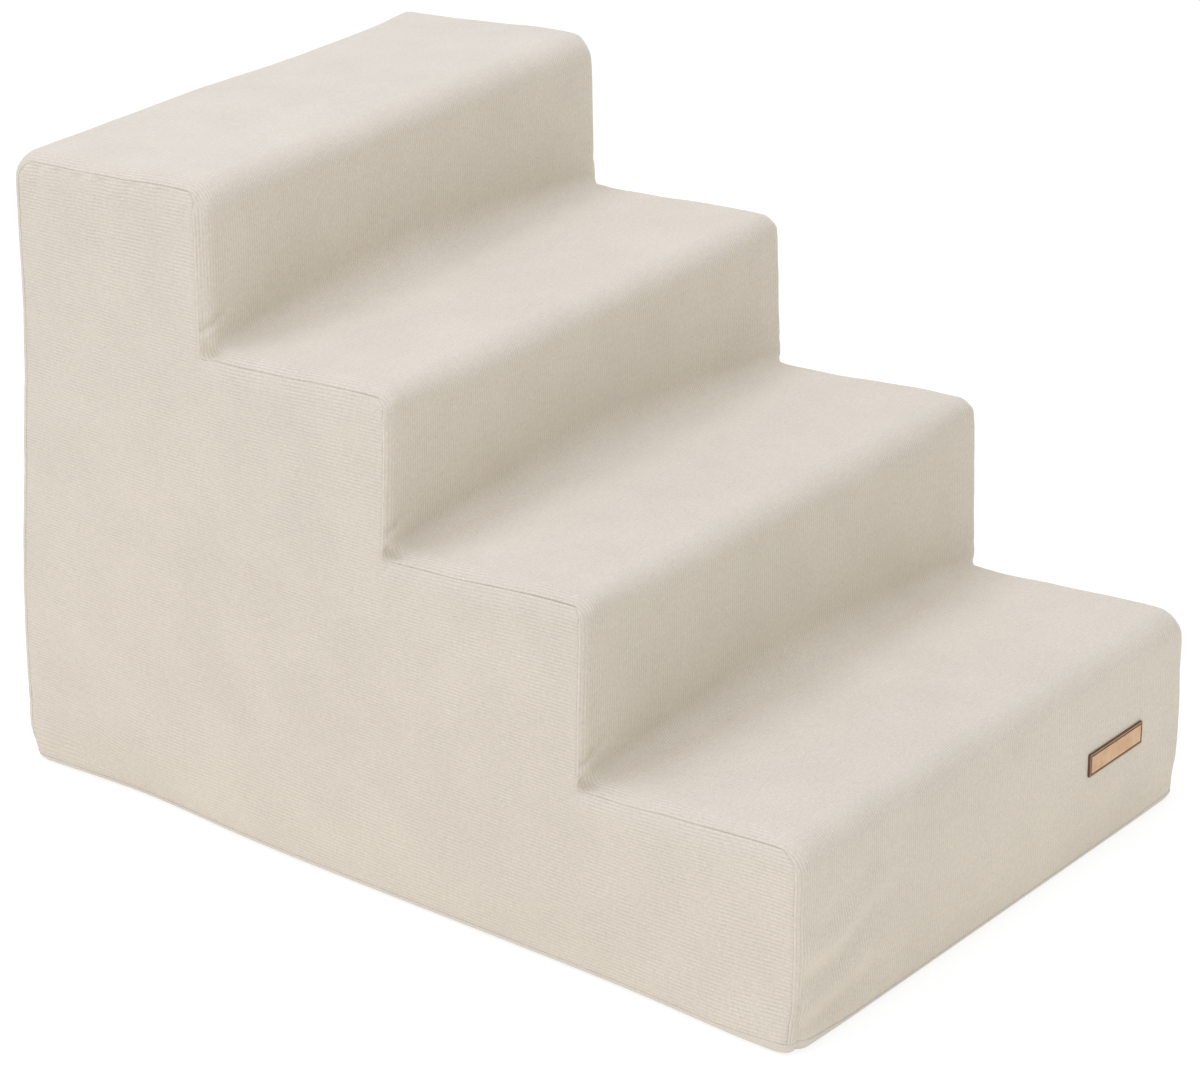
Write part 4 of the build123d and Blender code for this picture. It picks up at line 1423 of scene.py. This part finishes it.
def makeCoil(half, spec):
    low, high = boxOf(f"zip_coil_{half}")
    wire = spec["filament"]
    piece = grown(f"zipCoil{half.capitalize()}", lineHost([(0, 0, 0), (1, 0, 0)]), coilTree, {
        "Length": (high.x - low.x - 2 * wire) * mm, "Turns": spec["turns"],
        "Width": (high.z - low.z - 2 * wire) * mm, "Thickness": (high.y - low.y - 2 * wire) * mm,
        "Filament": wire * mm, "Place": [v * mm for v in (low + high) / 2], "Material": nylon,
    })
    finish(piece, "stairs", "zip_coil", f"zip_coil_{half}")


def makeStitchRow(half, spec):
    low, high = boxOf(f"zip_stitches_{half}")
    y, z = backY + 0.02, (low.z + high.z) / 2
    host = lineHost([(low.x + 1.5, y, z), (high.x - 1.5, y, z)])
    piece = grown(f"zipStitches{half.capitalize()}", host, stitchTree, {
        "Pitch": spec["stitchPitch"] * mm, "Stitch Size": [v * mm for v in spec["stitchSize"]],
        "Unevenness": 0.05, "Seed": spec["stitchSeeds"][half], "Material": seamThread,
    })
    finish(piece, "stairs", "thread", f"zip_stitches_{half}")


def makeTacks(spec):
    # bar tacks: close satin stitches across the ends of the window
    low, high = boxOf("zip_end_tacks")
    y = backY - spec["tackSunk"]
    made = []
    for side in (-1, 1):
        x = side * (high.x - 0.9)
        host = lineHost([(x, y, low.z + 0.3), (x, y, high.z - 0.3)])
        made.append(grown(f"tack{side}", host, stitchTree, {
            "Pitch": spec["tackPitch"] * mm, "Stitch Size": [v * mm for v in spec["tackSize"]],
            "Unevenness": 0.05, "Seed": spec["tackSeeds"][side], "Material": seamThread,
        }))
    mesh = bpy.data.meshes.new("zipEndTacks")
    with editing(mesh) as bm:
        for piece in made:
            bm.from_mesh(piece.data)
    mesh.materials.append(seamThread)
    for piece in made:
        bpy.data.objects.remove(piece)
    finish(linked("zipEndTacks", mesh), "stairs", "thread", "zip_end_tacks")


def finishedMetal(node, name, body, bevel):
    # die-cast pieces have small rounded edges, which the plain solid lacks
    piece = copyOfNode(node, name)
    edge = piece.modifiers.new("edges", "BEVEL")
    edge.width = bevel * mm
    edge.segments = 3
    edge.limit_method = "ANGLE"
    edge.angle_limit = math.radians(35)
    applied(piece)
    mesh = piece.data
    mesh.materials.append(nickel)
    mesh.polygons.foreach_set("use_smooth", [True] * len(mesh.polygons))
    mesh.set_sharp_from_angle(angle=math.radians(40))
    finish(piece, body, "zip_metal", node)


for make in (makeTape, makeCoil, makeStitchRow):
    for half in ("upper", "lower"):
        make(half, zipForm)
makeTacks(zipForm)
for metalPiece in zipForm["metal"]:
    finishedMetal(*metalPiece)
print("zip made")


# the leather tag

tagForm = {"groove": 1.1, "grooveWidth": 0.75, "grooveDepth": 0.3, "edgeRound": 0.35, "cornerRadius": 0.8}


def makeTag(spec):
    low, high = boxOf("leather_tag")
    cx, cz = (low.x + high.x) / 2, (low.z + high.z) / 2
    halfX, halfZ = (high.x - low.x) / 2, (high.z - low.z) / 2
    thick = high.y - low.y
    soft, g, w = spec["edgeRound"], spec["groove"], spec["grooveWidth"]
    floor = thick - spec["grooveDepth"]
    # rings from the back edge, up the cut side, over the soft edge, through the engraved line, to the flat middle:
    # how far in, how high, and how burnt
    levels = [
        (0, 0.0, 1.0), (0, 0.5 * (thick - soft), 1.0), (0, thick - soft, 1.0),
        (0.1, thick - soft * 0.45, 0.9), (soft, thick, 0.6), (0.7, thick, 0.4),
        (g - 0.15, thick, 0.5), (g, thick - 0.06, 0.9), (g + 0.12, floor, 1.0),
        (g + w - 0.12, floor, 1.0), (g + w, thick - 0.06, 0.8), (g + w + 0.15, thick, 0.35),
        (g + w + 0.8, thick, 0.04),
    ]

    def ring(inset):
        points = []
        radius = max(spec["cornerRadius"] - inset, 0.02)
        for sx, sz, start in ((1, 1, 0), (-1, 1, 90), (-1, -1, 180), (1, -1, 270)):
            for turn in np.radians(np.linspace(start, start + 90, 4)):
                x = sx * (halfX - inset - radius) + radius * math.cos(turn)
                points.append((x, sz * (halfZ - inset - radius) + radius * math.sin(turn)))
        dense = []
        counts = [1, 1, 1, 40, 1, 1, 1, 10] * 2
        for count, a, b in zip(counts, points, points[1:] + points[:1]):
            dense += [tuple(np.add(a, np.subtract(b, a) * i / count)) for i in range(count)]
        return dense

    points, burn = [], []
    for inset, rise, burnt in levels:
        for px, pz in ring(inset):
            points.append((cx + px, high.y - rise, cz + pz))
            burn.append(burnt)
    count = len(ring(0))
    faces = quads(len(levels), count, closed=True)
    inset = levels[-1][0]
    xs, zs = np.meshgrid(
        np.linspace(-halfX + inset + 1, halfX - inset - 1, 38),
        np.linspace(-halfZ + inset + 1, halfZ - inset - 1, 8))
    inner = np.column_stack([xs.ravel(), zs.ravel()])
    offset = (len(levels) - 1) * count
    points += [(cx + px, low.y, cz + pz) for px, pz in inner]
    burn += [0.0] * len(inner)
    faces += [tuple(offset + i for i in t) for t in fillOutline(np.array(ring(inset)), inner)]
    faces.append(tuple(range(count))[::-1])
    points = np.array(points)
    # the tag lies on the cloth and follows its swell and its slack, but stays at its node's height
    onCloth = points.copy()
    onCloth[:, 1] = frontY
    placed = settle(onCloth)
    placed[:, 2] = points[:, 2]
    slack = bandRelief(onCloth, clothWidth / 2 - np.abs(onCloth[:, 0]), np.zeros(len(onCloth)))
    placed[:, 1] += points[:, 1] - frontY - slack
    piece = meshObject("leatherTag", placed, faces, None, leather)
    with editing(piece.data) as bm:
        bmesh.ops.recalc_face_normals(bm, faces=bm.faces)
    layer = piece.data.attributes.new("burn", "FLOAT", "POINT")
    layer.data.foreach_set("value", burn)
    piece.data.set_sharp_from_angle(angle=math.radians(50))
    finish(piece, "stairs", "tag_leather", "leather_tag")


makeTag(tagForm)
print("leather tag made")


# the care label: a ribbon folded once, which hangs from the seam a little off the panel

labelForm = {
    "start": 0.25, "lift": 2.2, "curl": 0.25, "layerGap": 0.35, "thickness": 0.16, "rows": 22, "columns": 15,
    "ripple": 0.5, "sag": 1.2,
}


def makeLabel(spec):
    low, high = boxOf("care_label")
    length, height = high.y - low.y, high.z - low.z
    gap = spec["layerGap"]
    front = []
    for t in np.linspace(0, 1, spec["rows"]):
        front.append((t, spec["start"] + spec["lift"] * t * t * (1 - spec["curl"] * math.sin(t * 5))))
    fold = []
    for turn in np.linspace(0.4, math.pi - 0.2, 5):
        fold.append((1 + 0.012 * math.sin(turn), front[-1][1] + gap * (1 - math.cos(turn))))
    line = front + fold + [(t, off + 2 * gap) for t, off in reversed(front)]
    across = np.linspace(0, 1, spec["columns"])
    points, uv = [], []
    for number, (t, off) in enumerate(line):
        for c in across:
            ripple = spec["ripple"] * math.sin(c * 4.2 + 0.7) * t * t
            z = low.z + c * height - spec["sag"] * t * t * (1 - c)
            points.append((halfWidth + off + ripple, high.y - t * length, z))
            uv.append((c * height * mm, number * length / spec["rows"] * mm))
    points = np.array(points)
    onPanel = points.copy()
    onPanel[:, 0] = halfWidth
    placed = settle(onPanel)
    placed[:, 0] += points[:, 0] - halfWidth
    piece = meshObject("careLabel", placed, quads(len(line), len(across), flip=True), uv, satin)
    thickened(piece, spec["thickness"])
    finish(piece, "stairs", "label_satin", "care_label")


makeLabel(labelForm)
print("care label made")
